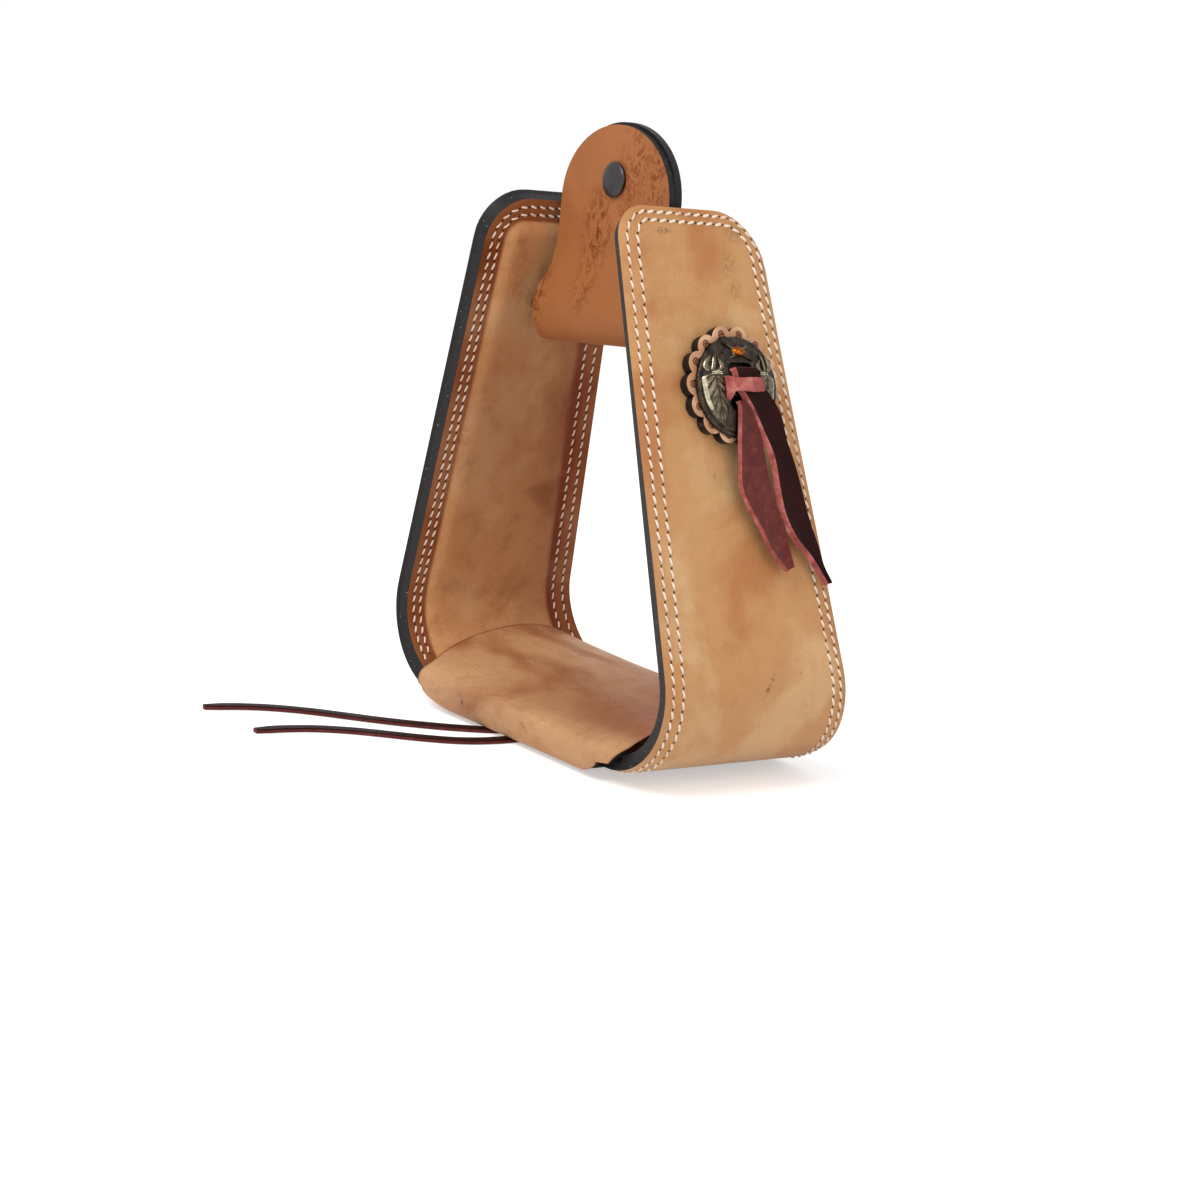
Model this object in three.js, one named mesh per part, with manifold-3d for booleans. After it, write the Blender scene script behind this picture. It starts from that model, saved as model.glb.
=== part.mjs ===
// Slanted stirrup: a metal bow covered in sewn saddle leather, with a padded and
// laced tread, a hanging tab on a roller in the neck, and a concho with tie strings
// on the outer leg. Millimetres, +Z up. The rider's toe enters along +Y.
import * as THREE from "three";
import { mergeVertices } from "three/addons/utils/BufferGeometryUtils.js";
import Module from "manifold-3d";

const wasm = await Module();
wasm.setup();

// Driving dimensions of the bow, a U of three layers: cover, core and liner
const BOW_WIDTH = 188; // across the outer faces, at the bends
const BOW_HEIGHT = 211; // outer face of the tread to the neck ends
const LEG_LEAN = THREE.MathUtils.degToRad(16.1);
const BEND_RADIUS = 34;
const NECK_DEPTH = 67;
const BAR_SETBACK = 1; // the bar's axis behind the neck's middle
const TREAD_DEPTH = 93;
const TREAD_SETBACK = 7.5; // front edge of the tread behind the neck's front edge
const INNER_NECK_CORNER = 20; // front corner of the leg at the horse's side
const OUTER_NECK_CORNER = 13;
const BACK_NECK_CORNER = 21;
const COVER_THICK = 3;
const CORE_THICK = 3.2;
const LINER_THICK = 3;
const GLUE_LINE = 0.1;
const SEAM_MARGIN = 9; // flat sewn border round the raised panel
const PANEL_SLOPE = 3;
const PANEL_CORNER = 10;
const CORE_CORNER = 9;
const CORE_CLEARANCE = 1;

// Driving dimensions of the tread
const SEAT_GAP = 0.3; // between pieces that touch in the real thing
const WRAP_THICK = 2.8;
const WRAP_UNDER_WIDTH = 92;
const WRAP_SEAM_GAP = 1.2;
const END_PULL = 6; // how far the wrap's cut ends shrink from the bends at the edges
const END_PULL_REACH = 20;
const NOSE_RADIUS = 4;
const CROWN_EDGE = 3.4; // top of the wrap over the liner, at the tread's edges
const CROWN_RISE = 11;
const CROWN_END_RISE = 4.3; // more rise where the pad climbs the bends
const CROWN_PEAK_SHARE = 0.6;
const CROWN_FRONT_POWER = 1.6;
const CROWN_BACK_POWER = 2.2;
const PAD_EDGE_SETBACK = 3;
const PAD_LEAST_THICK = 1;

// Driving dimensions of the lacing under the tread
const LACE_WIDTH = 5.5;
const LACE_THICK = 1.8;
const LACE_BARS = 5;
const LACE_PITCH = 17.5;
const LACE_SHIFT = -1.5; // middle bar from the middle of the tread
const LACE_BAR_LENGTH = 24;
const SLOT_LENGTH = 6;
const SLOT_SIDE_GAP = 0.6;
const KNOT_LENGTH = 10.6;
const KNOT_DEPTH = 13;

// Driving dimensions of the hanging bar, its roller and the tab
const BAR_HEIGHT = 166; // axis over the tread's outer face
const BAR_DIAMETER = 8;
const ROLLER_DIAMETER = 12.5;
const ROLLER_CLEARANCE = 0.3;
const ROLLER_END_GAP = 5.2;
const TAB_THICK = 3;
const TAB_SIDE_GAP = 3.4; // between the tab and the liner at the neck ends
const TAB_LOOP_INSET = 0.4; // the loop's ends inside the roller's ends
const TAB_SAG = 4.6; // the fold hangs lower at the horse's side
const TAB_TOP = 73; // over the bar's axis
const TAB_ROUND = 29; // height of the rounded top
const TAB_SHOULDER_TOP = 16; // over the bar's axis
const TAB_SHOULDER_BOTTOM = 5;
const TAB_CLOSE = 24; // where the two plies meet, over the bar's axis
const TAB_CLOSE_FILLET = 5;
const RIVET_HEIGHT = 52; // over the bar's axis
const RIVET_CAP_DIAMETER = 14;
const RIVET_CAP_THICK = 2;
const RIVET_BASE_DIAMETER = 12;
const RIVET_BASE_THICK = 1.4;
const RIVET_POST_DIAMETER = 3.6;

// Driving dimensions of the concho and its tie
const CONCHO_HEIGHT = 145.5; // centre over the tread's outer face
const CONCHO_SETBACK = 10.2; // centre behind the bar's axis
const CONCHO_DIAMETER = 38.1;
const CONCHO_RIM = 1.4;
const CONCHO_DOME = 3;
const CONCHO_SHEET = 1.2;
const ROSETTE_DIAMETER = 44.6;
const ROSETTE_THICK = 4.4;
const ROSETTE_SCALLOPS = 14;
const ROSETTE_SCALLOP_RADIUS = 4.6;
const TIE_THICK = 2;
const TIE_CLEARANCE = 0.5;
const WINDOW_WIDTH = 12;
const WINDOW_HEIGHT = 5.4;
const WINDOW_OFFSET = 6.2; // middle of each slot from the concho's centre
const BAND_REACH = 7.2; // the knot's crossing band, forward and back of the centre
const BAND_HEIGHT = 5;
const STRIP_WIDTH = 3.4; // where the band turns down beside the slots
const STRIP_HEIGHT = 11.6;
const LONG_TAIL_LENGTH = 80;
const SHORT_TAIL_LENGTH = 70;
const RELIEF_THICK = 1.1;
const FEATHER_LENGTH = 25;
const FEATHER_WIDTH = 6.6;
const FEATHER_OFFSET = 12.3;
const FEATHER_DROP = 1.2;
const STAR_HALF_WIDTH = 6.4;
const STAR_HALF_HEIGHT = 3.4;
const STAR_OFFSET = 12.9;
const BEAD_RADIUS = 2.1;

// Fineness of the curved pieces
const BEND_STEPS = 8;
const ROUND_STEPS = 6;
const CORNER_STEPS = 4;
const BAR_SIDES = 24;
const DISC_SIDES = 40;

// Places worked out from the sizes above. The bar's axis is the datum in Y and the
// tread's outer face is the datum in Z, until the whole part is set on its base.
const halfFlat = BOW_WIDTH / 2 - BEND_RADIUS;
const bendAngle = Math.PI / 2 + LEG_LEAN;
const bendLength = BEND_RADIUS * bendAngle;
const bendTop = BEND_RADIUS * (1 + Math.sin(LEG_LEAN));
const legLength = (BOW_HEIGHT - bendTop) / Math.cos(LEG_LEAN);
const bowEnd = halfFlat + bendLength + legLength;
const neckFront = -NECK_DEPTH / 2 - BAR_SETBACK;
const neckBack = NECK_DEPTH / 2 - BAR_SETBACK;
const treadFront = neckFront + TREAD_SETBACK;
const treadBack = treadFront + TREAD_DEPTH;
const coreTop = COVER_THICK + GLUE_LINE;
const panelTop = coreTop + CORE_THICK + GLUE_LINE + LINER_THICK;
const marginTop = COVER_THICK + GLUE_LINE + LINER_THICK;
const coreInset = SEAM_MARGIN + PANEL_SLOPE + CORE_CLEARANCE;
const wrapOut = SEAT_GAP + WRAP_THICK;
const floorDrop = wrapOut + SEAT_GAP + LACE_THICK;
const treadMiddle = (treadFront + treadBack) / 2;
const neckCorners = [INNER_NECK_CORNER, OUTER_NECK_CORNER, BACK_NECK_CORNER];
const coreCorners = [CORE_CORNER, CORE_CORNER, CORE_CORNER];
const squareCorners = [0, 0, 0];
const partMiddle = (Math.min(neckFront, treadFront - wrapOut) + treadBack + wrapOut) / 2;

const lerp = THREE.MathUtils.lerp;
const clamp = THREE.MathUtils.clamp;
const smooth = (t) => t * t * (3 - 2 * t);

// Leather, metal and thread as the eye sees them; every piece gets its own copy
const finishes = {
  cover: { color: "#c99b69", roughness: 0.62, metalness: 0 },
  liner: { color: "#a9744c", roughness: 0.66, metalness: 0 },
  wrap: { color: "#c4935f", roughness: 0.62, metalness: 0 },
  tab: { color: "#b87a4a", roughness: 0.6, metalness: 0 },
  lace: { color: "#4a2a2e", roughness: 0.5, metalness: 0 },
  flesh: { color: "#a65a56", roughness: 0.85, metalness: 0 },
  pad: { color: "#8d8577", roughness: 0.9, metalness: 0 },
  aluminium: { color: "#b9bcc0", roughness: 0.4, metalness: 0.9 },
  steel: { color: "#8b8d90", roughness: 0.35, metalness: 0.95 },
  gunmetal: { color: "#4b4746", roughness: 0.35, metalness: 0.9 },
  blackened: { color: "#2b2a2b", roughness: 0.45, metalness: 0.9 },
  silver: { color: "#b5ab96", roughness: 0.3, metalness: 1 },
  copper: { color: "#b8642f", roughness: 0.3, metalness: 1 },
  nylon: { color: "#d8d2c4", roughness: 0.5, metalness: 0 },
};

function piece(name, geometry, finish) {
  const material = new THREE.MeshStandardMaterial(finishes[finish]);
  const mesh = new THREE.Mesh(geometry, material);
  mesh.name = name;
  return mesh;
}

// Turns a list of points and triangles into a geometry that faces outward
function closedGeometry(points, triangles) {
  const geometry = new THREE.BufferGeometry();
  geometry.setAttribute("position", new THREE.Float32BufferAttribute(points.flat(), 3));
  let volume = 0;
  for (const [a, b, c] of triangles) {
    const [p, q, r] = [a, b, c].map((i) => new THREE.Vector3(...points[i]));
    volume += p.dot(q.cross(r));
  }
  const outward = volume > 0 ? triangles : triangles.map(([a, b, c]) => [a, c, b]);
  geometry.setIndex(outward.flat());
  return geometry;
}

// A closed sheet between two grids of points, upper(i, j) and lower(i, j)
function closedSheet(rows, columns, upper, lower) {
  const points = [];
  const triangles = [];
  for (const side of [upper, lower]) {
    for (let i = 0; i < rows; i++) {
      for (let j = 0; j < columns; j++) points.push(side(i, j));
    }
  }
  const at = (i, j, side) => side * rows * columns + i * columns + j;
  const quad = (a, b, c, d) => triangles.push([a, b, c], [a, c, d]);
  for (let i = 0; i < rows - 1; i++) {
    for (let j = 0; j < columns - 1; j++) {
      quad(at(i, j, 0), at(i + 1, j, 0), at(i + 1, j + 1, 0), at(i, j + 1, 0));
      quad(at(i, j, 1), at(i, j + 1, 1), at(i + 1, j + 1, 1), at(i + 1, j, 1));
    }
    quad(at(i, 0, 0), at(i, 0, 1), at(i + 1, 0, 1), at(i + 1, 0, 0));
    const j = columns - 1;
    quad(at(i, j, 0), at(i + 1, j, 0), at(i + 1, j, 1), at(i, j, 1));
  }
  for (let j = 0; j < columns - 1; j++) {
    quad(at(0, j, 0), at(0, j + 1, 0), at(0, j + 1, 1), at(0, j, 1));
    const i = rows - 1;
    quad(at(i, j, 0), at(i, j, 1), at(i, j + 1, 1), at(i, j + 1, 0));
  }
  return closedGeometry(points, triangles);
}

// A solid through a list of rings with equal counts, closed by flat fans
function loft(rings) {
  const count = rings[0].length;
  const points = rings.flat();
  const triangles = [];
  for (let i = 0; i < rings.length - 1; i++) {
    for (let j = 0; j < count; j++) {
      const k = (j + 1) % count;
      const [a, b] = [i * count + j, i * count + k];
      triangles.push([a, b, b + count], [a, b + count, a + count]);
    }
  }
  const last = (rings.length - 1) * count;
  for (let j = 1; j < count - 1; j++) {
    triangles.push([0, j + 1, j]);
    triangles.push([last, last + j, last + j + 1]);
  }
  return closedGeometry(points, triangles);
}

function toSolid(geometry) {
  const bare = geometry.clone();
  bare.deleteAttribute("normal");
  bare.deleteAttribute("uv");
  const merged = mergeVertices(bare);
  const vertProperties = new Float32Array(merged.attributes.position.array);
  const triVerts = new Uint32Array(merged.index.array);
  return new wasm.Manifold(new wasm.Mesh({ numProp: 3, vertProperties, triVerts }));
}

function toGeometry(solid) {
  const mesh = solid.getMesh();
  const geometry = new THREE.BufferGeometry();
  geometry.setAttribute("position", new THREE.BufferAttribute(mesh.vertProperties, 3));
  geometry.setIndex(new THREE.BufferAttribute(mesh.triVerts, 1));
  return geometry;
}

function cut(geometry, cutters) {
  let solid = toSolid(geometry);
  for (const cutter of cutters) solid = solid.subtract(toSolid(cutter));
  return toGeometry(solid);
}

// A flat shape in X and Y made solid from height low to height high
function plate(shape, low, high, curveSegments = CORNER_STEPS) {
  const options = { depth: high - low, bevelEnabled: false, curveSegments };
  const geometry = new THREE.ExtrudeGeometry(shape, options);
  geometry.translate(0, 0, low);
  return geometry;
}

function slotShape(width, length) {
  const shape = new THREE.Shape();
  const r = Math.min(width, length) / 2;
  const [x, y] = [width / 2 - r, length / 2 - r];
  shape.absarc(x, y, r, 0, Math.PI / 2);
  shape.absarc(-x, y, r, Math.PI / 2, Math.PI);
  shape.absarc(-x, -y, r, Math.PI, Math.PI * 1.5);
  shape.absarc(x, -y, r, Math.PI * 1.5, Math.PI * 2);
  return shape;
}

function rodAlongX(radius, length, sides = BAR_SIDES) {
  const rod = new THREE.CylinderGeometry(radius, radius, length, sides);
  rod.rotateZ(Math.PI / 2);
  return rod;
}

// Point of the bow at a signed length along its outer face, an offset inward
function bowPoint(along, offset) {
  const a = Math.abs(along);
  const side = Math.sign(along) || 1;
  if (a <= halfFlat) return [along, offset];
  const angle = Math.min((a - halfFlat) / BEND_RADIUS, bendAngle);
  const radius = BEND_RADIUS - offset;
  const leg = Math.max(a - halfFlat - bendLength, 0);
  const x = halfFlat + radius * Math.sin(angle) - leg * Math.sin(LEG_LEAN);
  const z = BEND_RADIUS - radius * Math.cos(angle) + leg * Math.cos(LEG_LEAN);
  return [side * x, z];
}

// How far a rounded corner draws an edge in, at a distance from the end
function cornerDraw(fromEnd, radius) {
  const reach = Math.max(radius - fromEnd, 0);
  return radius - Math.sqrt(radius * radius - reach * reach);
}

function edges(along, inset, [innerCorner, outerCorner, backCorner]) {
  const a = Math.abs(along);
  const frontCorner = along < 0 ? innerCorner : outerCorner;
  const share = bowPoint(a, 0)[1] / BOW_HEIGHT;
  const fromEnd = Math.max(bowEnd - inset - a, 0);
  const front = lerp(treadFront, neckFront, share) + inset + cornerDraw(fromEnd, frontCorner);
  const back = lerp(treadBack, neckBack, share) - inset - cornerDraw(fromEnd, backCorner);
  return [front, back];
}

// Stations along the bow, shared by every layer on the tread and the bends
function bowStations(inset, corners, extraFromEnd = []) {
  const half = [0, halfFlat / 2, halfFlat];
  for (let k = 1; k <= BEND_STEPS; k++) half.push(halfFlat + (bendLength * k) / BEND_STEPS);
  const end = bowEnd - inset;
  const fromEnd = [0, ...extraFromEnd];
  for (let k = 0; k < CORNER_STEPS; k++) {
    const share = 1 - Math.sin((Math.PI / 2) * (k / CORNER_STEPS));
    fromEnd.push(...corners.map((corner) => corner * share));
  }
  const legStart = halfFlat + bendLength;
  const legMiddle = lerp(legStart, end - Math.max(...corners), 1 / 2);
  half.push(legMiddle);
  fromEnd.sort((p, q) => q - p);
  for (const distance of fromEnd) {
    if (end - distance > half[half.length - 1] + GLUE_LINE * 2) half.push(end - distance);
  }
  half[half.length - 1] = end;
  return [...half.slice(1).reverse().map((a) => -a), ...half];
}

function bowLayer(low, high, inset, corners, columns) {
  const stations = bowStations(inset, corners);
  const point = (offset) => (i, j) => {
    const [x, z] = bowPoint(stations[i], offset);
    const [front, back] = edges(stations[i], inset, corners);
    return [x, lerp(front, back, j / (columns - 1)), z];
  };
  return closedSheet(stations.length, columns, point(high), point(low));
}

// How far the liner is lifted over the core, from 0 in the sewn border to 1
function panelShare(fromSide, fromEnd) {
  const reach = SEAM_MARGIN + PANEL_CORNER;
  let inside = Math.min(fromSide, fromEnd);
  if (fromSide < reach && fromEnd < reach) {
    inside = reach - Math.hypot(reach - fromSide, reach - fromEnd);
  }
  return smooth(clamp((inside - SEAM_MARGIN) / PANEL_SLOPE, 0, 1));
}

// Height of the liner's top over the bow's outer face
function linerTop(y, along) {
  const [front, back] = edges(along, 0, squareCorners);
  const share = panelShare(Math.min(y - front, back - y), bowEnd - Math.abs(along));
  return lerp(marginTop, panelTop, share);
}

function linerGeometry() {
  const half = PANEL_SLOPE / 2;
  const steps = [SEAM_MARGIN, SEAM_MARGIN + half, SEAM_MARGIN + PANEL_SLOPE];
  steps.push(SEAM_MARGIN + PANEL_CORNER / 2 + half, SEAM_MARGIN + PANEL_CORNER);
  const stations = bowStations(0, neckCorners, steps);
  const columns = 2 * steps.length + 3;
  const across = (i, j) => {
    const [front, back] = edges(stations[i], 0, neckCorners);
    const middle = steps.length + 1;
    if (j === middle) return (front + back) / 2;
    const index = j < middle ? j : columns - 1 - j;
    const room = (back - front) / 2 / (steps[steps.length - 1] * (1 + 1 / columns));
    const step = index === 0 ? 0 : steps[index - 1] * Math.min(1, room);
    return j < middle ? front + step : back - step;
  };
  const point = (drop) => (i, j) => {
    const y = across(i, j);
    const [x, z] = bowPoint(stations[i], linerTop(y, stations[i]) - drop);
    return [x, y, z];
  };
  return closedSheet(stations.length, columns, point(0), point(LINER_THICK));
}

function crossbarHole() {
  const hole = rodAlongX(BAR_DIAMETER / 2 + SEAT_GAP, BOW_WIDTH);
  hole.translate(0, 0, BAR_HEIGHT);
  return hole;
}

// The two slots that the concho's tie passes through, in the concho's own frame
function tieSlots(low, high) {
  const shape = () => slotShape(WINDOW_WIDTH, WINDOW_HEIGHT);
  return [-1, 1].map((side) => plate(shape(), low, high).translate(0, side * WINDOW_OFFSET, 0));
}

// Matrix that sets the concho's frame on the right leg: X runs back along the leg's
// width, Y up the leg and Z out of its face
function conchoMatrix() {
  const drop = BOW_HEIGHT - CONCHO_HEIGHT;
  const along = bowEnd - drop / Math.cos(LEG_LEAN);
  const [x, z] = bowPoint(along, 0);
  const back = new THREE.Vector3(0, 1, 0);
  const up = new THREE.Vector3(-Math.sin(LEG_LEAN), 0, Math.cos(LEG_LEAN));
  const out = new THREE.Vector3(Math.cos(LEG_LEAN), 0, Math.sin(LEG_LEAN));
  const matrix = new THREE.Matrix4().makeBasis(back, up, out);
  return matrix.setPosition(x, CONCHO_SETBACK, z);
}

function makeBow() {
  const matrix = conchoMatrix();
  const cover = bowLayer(0, COVER_THICK, 0, neckCorners, 3);
  const slots = tieSlots(-COVER_THICK - SEAT_GAP, SEAT_GAP);
  slots.forEach((slot) => slot.applyMatrix4(matrix));
  const core = bowLayer(coreTop, coreTop + CORE_THICK, coreInset, coreCorners, 3);
  return [
    piece("outer_cover", cut(cover, slots), "cover"),
    piece("core_bow", cut(core, [crossbarHole()]), "aluminium"),
    piece("inner_liner", cut(linerGeometry(), [crossbarHole()]), "liner"),
  ];
}

// Height of the wrap's upper face over the tread's outer face
function crownHeight(x, y) {
  const front = treadFront - wrapOut;
  const back = treadBack + wrapOut;
  const peak = lerp(front, back, CROWN_PEAK_SHARE);
  const ahead = y < peak;
  const away = ahead ? (peak - y) / (peak - front) : (y - peak) / (back - peak);
  const power = ahead ? CROWN_FRONT_POWER : CROWN_BACK_POWER;
  const dome = 1 - Math.pow(Math.min(away, 1), power);
  const ends = Math.pow(Math.abs(x) / (BOW_WIDTH / 2), 2);
  return marginTop + CROWN_EDGE + dome * (CROWN_RISE + CROWN_END_RISE * ends);
}

// How far out a level at height z reaches before it meets the liner on the bend
function bendReach(y, z) {
  let angle = bendAngle / 2;
  let radius = BEND_RADIUS;
  for (let k = 0; k < ROUND_STEPS; k++) {
    const along = halfFlat + BEND_RADIUS * angle;
    const near = [-1, 0, 1].map((side) => linerTop(y + (side * PANEL_SLOPE) / 2, along));
    radius = BEND_RADIUS - Math.max(...near) - SEAT_GAP;
    angle = Math.acos(clamp((BEND_RADIUS - z) / radius, 0, 1));
  }
  return halfFlat + radius * Math.sin(angle);
}

function crownReach(y, drop) {
  let reach = halfFlat;
  for (let k = 0; k < ROUND_STEPS; k++) reach = bendReach(y, crownHeight(reach, y) - drop);
  return reach - endPull(y);
}

// How far the wrap and the pad stop short of the bend, near the tread's edges
function endPull(y) {
  const fromEdge = Math.min(y - treadFront, treadBack - y);
  return END_PULL * (1 - smooth(clamp(fromEdge / END_PULL_REACH, 0, 1)));
}

// One run of the wrap round the tread, from its seam forward, over and back again.
// Each station gives the outer and the inner point and the half width there.
function wrapStation(station, x) {
  const { kind, y, angle, side } = station;
  const corner = side < 0 ? treadFront : treadBack;
  if (kind === "under") return { outer: [y, -wrapOut], inner: [y, -SEAT_GAP] };
  if (kind === "heel") {
    const [c, s] = [side * Math.sin(angle), -Math.cos(angle)];
    const outer = [corner + wrapOut * c, wrapOut * s];
    return { outer, inner: [corner + SEAT_GAP * c, SEAT_GAP * s] };
  }
  if (kind === "nose") {
    const middle = corner + side * (wrapOut - NOSE_RADIUS);
    const height = crownHeight(x, middle) - NOSE_RADIUS;
    const [c, s] = [side * Math.cos(angle), Math.sin(angle)];
    const inside = NOSE_RADIUS - WRAP_THICK;
    const outer = [middle + NOSE_RADIUS * c, height + NOSE_RADIUS * s];
    return { outer, inner: [middle + inside * c, height + inside * s] };
  }
  const height = crownHeight(x, y);
  return { outer: [y, height], inner: [y, height - WRAP_THICK] };
}

function wrapStations() {
  const list = [];
  const seam = WRAP_SEAM_GAP / 2;
  const crownFront = treadFront - wrapOut + NOSE_RADIUS;
  const crownBack = treadBack + wrapOut - NOSE_RADIUS;
  const quarter = Math.PI / 2;
  for (const share of [0, 1 / 2, 1]) {
    list.push({ kind: "under", y: lerp(treadMiddle - seam, treadFront, share) });
  }
  for (const share of [1 / 3, 2 / 3, 1]) {
    list.push({ kind: "heel", side: -1, angle: quarter * share, turn: share });
  }
  for (const share of [0, 1 / 3, 2 / 3]) {
    list.push({ kind: "nose", side: -1, angle: quarter * share });
  }
  list.push({ kind: "crown", y: crownFront });
  for (let k = 0; k < padRow(undefined, 0); k++) {
    list.push({ kind: "crown", y: padRow(k, halfFlat + bendLength / 2) });
  }
  list.push({ kind: "crown", y: crownBack });
  for (const share of [2 / 3, 1 / 3, 0]) {
    list.push({ kind: "nose", side: 1, angle: quarter * share });
  }
  for (const share of [1, 2 / 3, 1 / 3]) {
    list.push({ kind: "heel", side: 1, angle: quarter * share, turn: share });
  }
  for (const share of [1, 1 / 2, 0]) {
    list.push({ kind: "under", y: lerp(treadMiddle + seam, treadBack, share) });
  }
  return list;
}

// Half width of one face of the wrap at a station: narrow underneath, wide over the
// crown, where its cut ends lie against the liner
function wrapHalfWidth(station, drop) {
  if (station.kind === "under") return WRAP_UNDER_WIDTH / 2;
  const corner = station.side < 0 ? treadFront : treadBack;
  const edgeReach = crownReach(corner, WRAP_THICK);
  if (station.kind === "heel") return lerp(WRAP_UNDER_WIDTH / 2, edgeReach, station.turn / 2);
  if (station.kind === "crown") {
    return crownReach(clamp(station.y, treadFront, treadBack), drop);
  }
  const turn = station.angle / (Math.PI / 2);
  return lerp(lerp(WRAP_UNDER_WIDTH / 2, edgeReach, 1 / 2), edgeReach, turn);
}

function wrapGeometry() {
  const stations = wrapStations();
  const columns = 2 * CORNER_STEPS + 1;
  const point = (face, drop) => {
    const widths = stations.map((station) => wrapHalfWidth(station, drop));
    return (i, j) => {
      const x = widths[i] * ((2 * j) / (columns - 1) - 1);
      const [y, z] = wrapStation(stations[i], x)[face];
      return [x, y, z];
    };
  };
  return closedSheet(stations.length, columns, point("outer", 0), point("inner", WRAP_THICK));
}

// Rows of the pad follow the steps of the liner below it
function padRow(index, along) {
  const [front, back] = edges(along, 0, squareCorners);
  const near = [PAD_EDGE_SETBACK, SEAM_MARGIN, SEAM_MARGIN + PANEL_SLOPE / 2];
  near.push(SEAM_MARGIN + PANEL_SLOPE);
  const wide = back - front;
  const middle = [1 / 4, 3 / 8, 1 / 2, 5 / 8, 3 / 4].map((share) => share * wide);
  const steps = [...near, ...middle, ...near.reverse().map((step) => wide - step)];
  return index === undefined ? steps.length : front + steps[index];
}

// Length along the bow at which the pad has thinned out against the liner
function padReach(index) {
  let along = halfFlat + bendLength / 2;
  for (let k = 0; k < 2 * ROUND_STEPS; k++) {
    const y = padRow(index, along);
    const lift = linerTop(y, along) + SEAT_GAP;
    const top = crownHeight(bowPoint(along, lift)[0], y) - wrapOut - PAD_LEAST_THICK;
    const level = clamp((BEND_RADIUS - top) / (BEND_RADIUS - lift), 0, 1);
    along = halfFlat + BEND_RADIUS * Math.acos(level);
  }
  return along - endPull(padRow(index, along));
}

function padGeometry() {
  const rows = padRow(undefined, 0);
  const half = 2 * ROUND_STEPS;
  const reaches = [];
  for (let i = 0; i < rows; i++) reaches.push(padReach(i));
  const point = (upper) => (i, j) => {
    const step = Math.abs(j - half);
    const side = Math.sign(j - half) || 1;
    const onFlat = (halfFlat * step) / ROUND_STEPS;
    const onBend = lerp(halfFlat, reaches[i], (step - ROUND_STEPS) / ROUND_STEPS);
    const along = step <= ROUND_STEPS ? onFlat : onBend;
    const y = padRow(i, along);
    const [x, z] = bowPoint(along, linerTop(y, along) + SEAT_GAP);
    return [side * x, y, upper ? crownHeight(x, y) - wrapOut : z];
  };
  return closedSheet(rows, 2 * half + 1, point(true), point(false));
}

const barPlaces = [];
for (let k = 0; k < LACE_BARS; k++) {
  barPlaces.push((k - (LACE_BARS - 1) / 2) * LACE_PITCH + LACE_SHIFT);
}
const knotPlace = LACE_SHIFT - LACE_PITCH / 2;

// A bar of lace lies under the wrap and turns up into its two slots
function laceBarGeometry(place) {
  const half = LACE_BAR_LENGTH / 2;
  const rise = floorDrop - 2 * SEAT_GAP;
  const turn = LACE_THICK;
  const shape = new THREE.Shape();
  shape.moveTo(-half, rise);
  shape.lineTo(-half, turn);
  shape.absarc(-half + turn, turn, turn, Math.PI, Math.PI * 1.5);
  shape.absarc(half - turn, turn, turn, Math.PI * 1.5, Math.PI * 2);
  shape.lineTo(half, rise);
  shape.lineTo(half - LACE_THICK, rise);
  shape.lineTo(half - LACE_THICK, LACE_THICK);
  shape.lineTo(LACE_THICK - half, LACE_THICK);
  shape.lineTo(LACE_THICK - half, rise);
  const bar = plate(shape, -LACE_WIDTH / 2, LACE_WIDTH / 2, 3);
  bar.rotateY(Math.PI / 2);
  bar.rotateX(Math.PI / 2);
  return bar.translate(place, treadMiddle, -floorDrop);
}

function knotGeometry(grow) {
  const tall = floorDrop - 2 * SEAT_GAP;
  const knot = new THREE.SphereGeometry(1, 2 * ROUND_STEPS, ROUND_STEPS);
  knot.rotateX(Math.PI / 2);
  knot.scale(KNOT_LENGTH / 2 + grow, KNOT_DEPTH / 2 + grow, tall / Math.SQRT2 + grow);
  knot.translate(knotPlace, treadMiddle, tall / 2 - floorDrop);
  return knot;
}

// Keeps the knot between the floor and the cover
function knotSolid() {
  const wide = 2 * (KNOT_LENGTH + KNOT_DEPTH);
  const keep = new THREE.BoxGeometry(wide, wide, floorDrop - 2 * SEAT_GAP);
  keep.translate(knotPlace, treadMiddle, (floorDrop - 2 * SEAT_GAP) / 2 - floorDrop);
  return toGeometry(toSolid(knotGeometry(0)).intersect(toSolid(keep)));
}

function laceSlots() {
  const reach = (LACE_BAR_LENGTH - LACE_THICK) / 2;
  const shape = () => slotShape(LACE_WIDTH + 2 * SLOT_SIDE_GAP, SLOT_LENGTH);
  const slots = [];
  for (const place of barPlaces) {
    for (const side of [-1, 1]) {
      const slot = plate(shape(), -wrapOut - SEAT_GAP, 0);
      slots.push(slot.translate(place, treadMiddle + side * reach, 0));
    }
  }
  return slots;
}

function makeTread() {
  const wrap = cut(wrapGeometry(), [...laceSlots(), knotGeometry(SEAT_GAP)]);
  const pieces = [piece("tread_pad", padGeometry(), "pad"), piece("tread_wrap", wrap, "wrap")];
  barPlaces.forEach((place, k) => {
    pieces.push(piece(`lace_bar_${k + 1}`, laceBarGeometry(place), "lace"));
  });
  pieces.push(piece("lace_knot", knotSolid(), "lace"));
  return pieces;
}

// The bar's ends are let into the core and cut flush with its outer face
function crossbarGeometry() {
  const ring = (side) => {
    const points = [];
    for (let k = 0; k < BAR_SIDES; k++) {
      const angle = (2 * Math.PI * k) / BAR_SIDES;
      const y = (BAR_DIAMETER / 2) * Math.cos(angle);
      const z = BAR_HEIGHT + (BAR_DIAMETER / 2) * Math.sin(angle);
      points.push([side * legFace(z, COVER_THICK + SEAT_GAP), y, z]);
    }
    return points;
  };
  return loft([ring(-1), ring(1)]);
}

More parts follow.
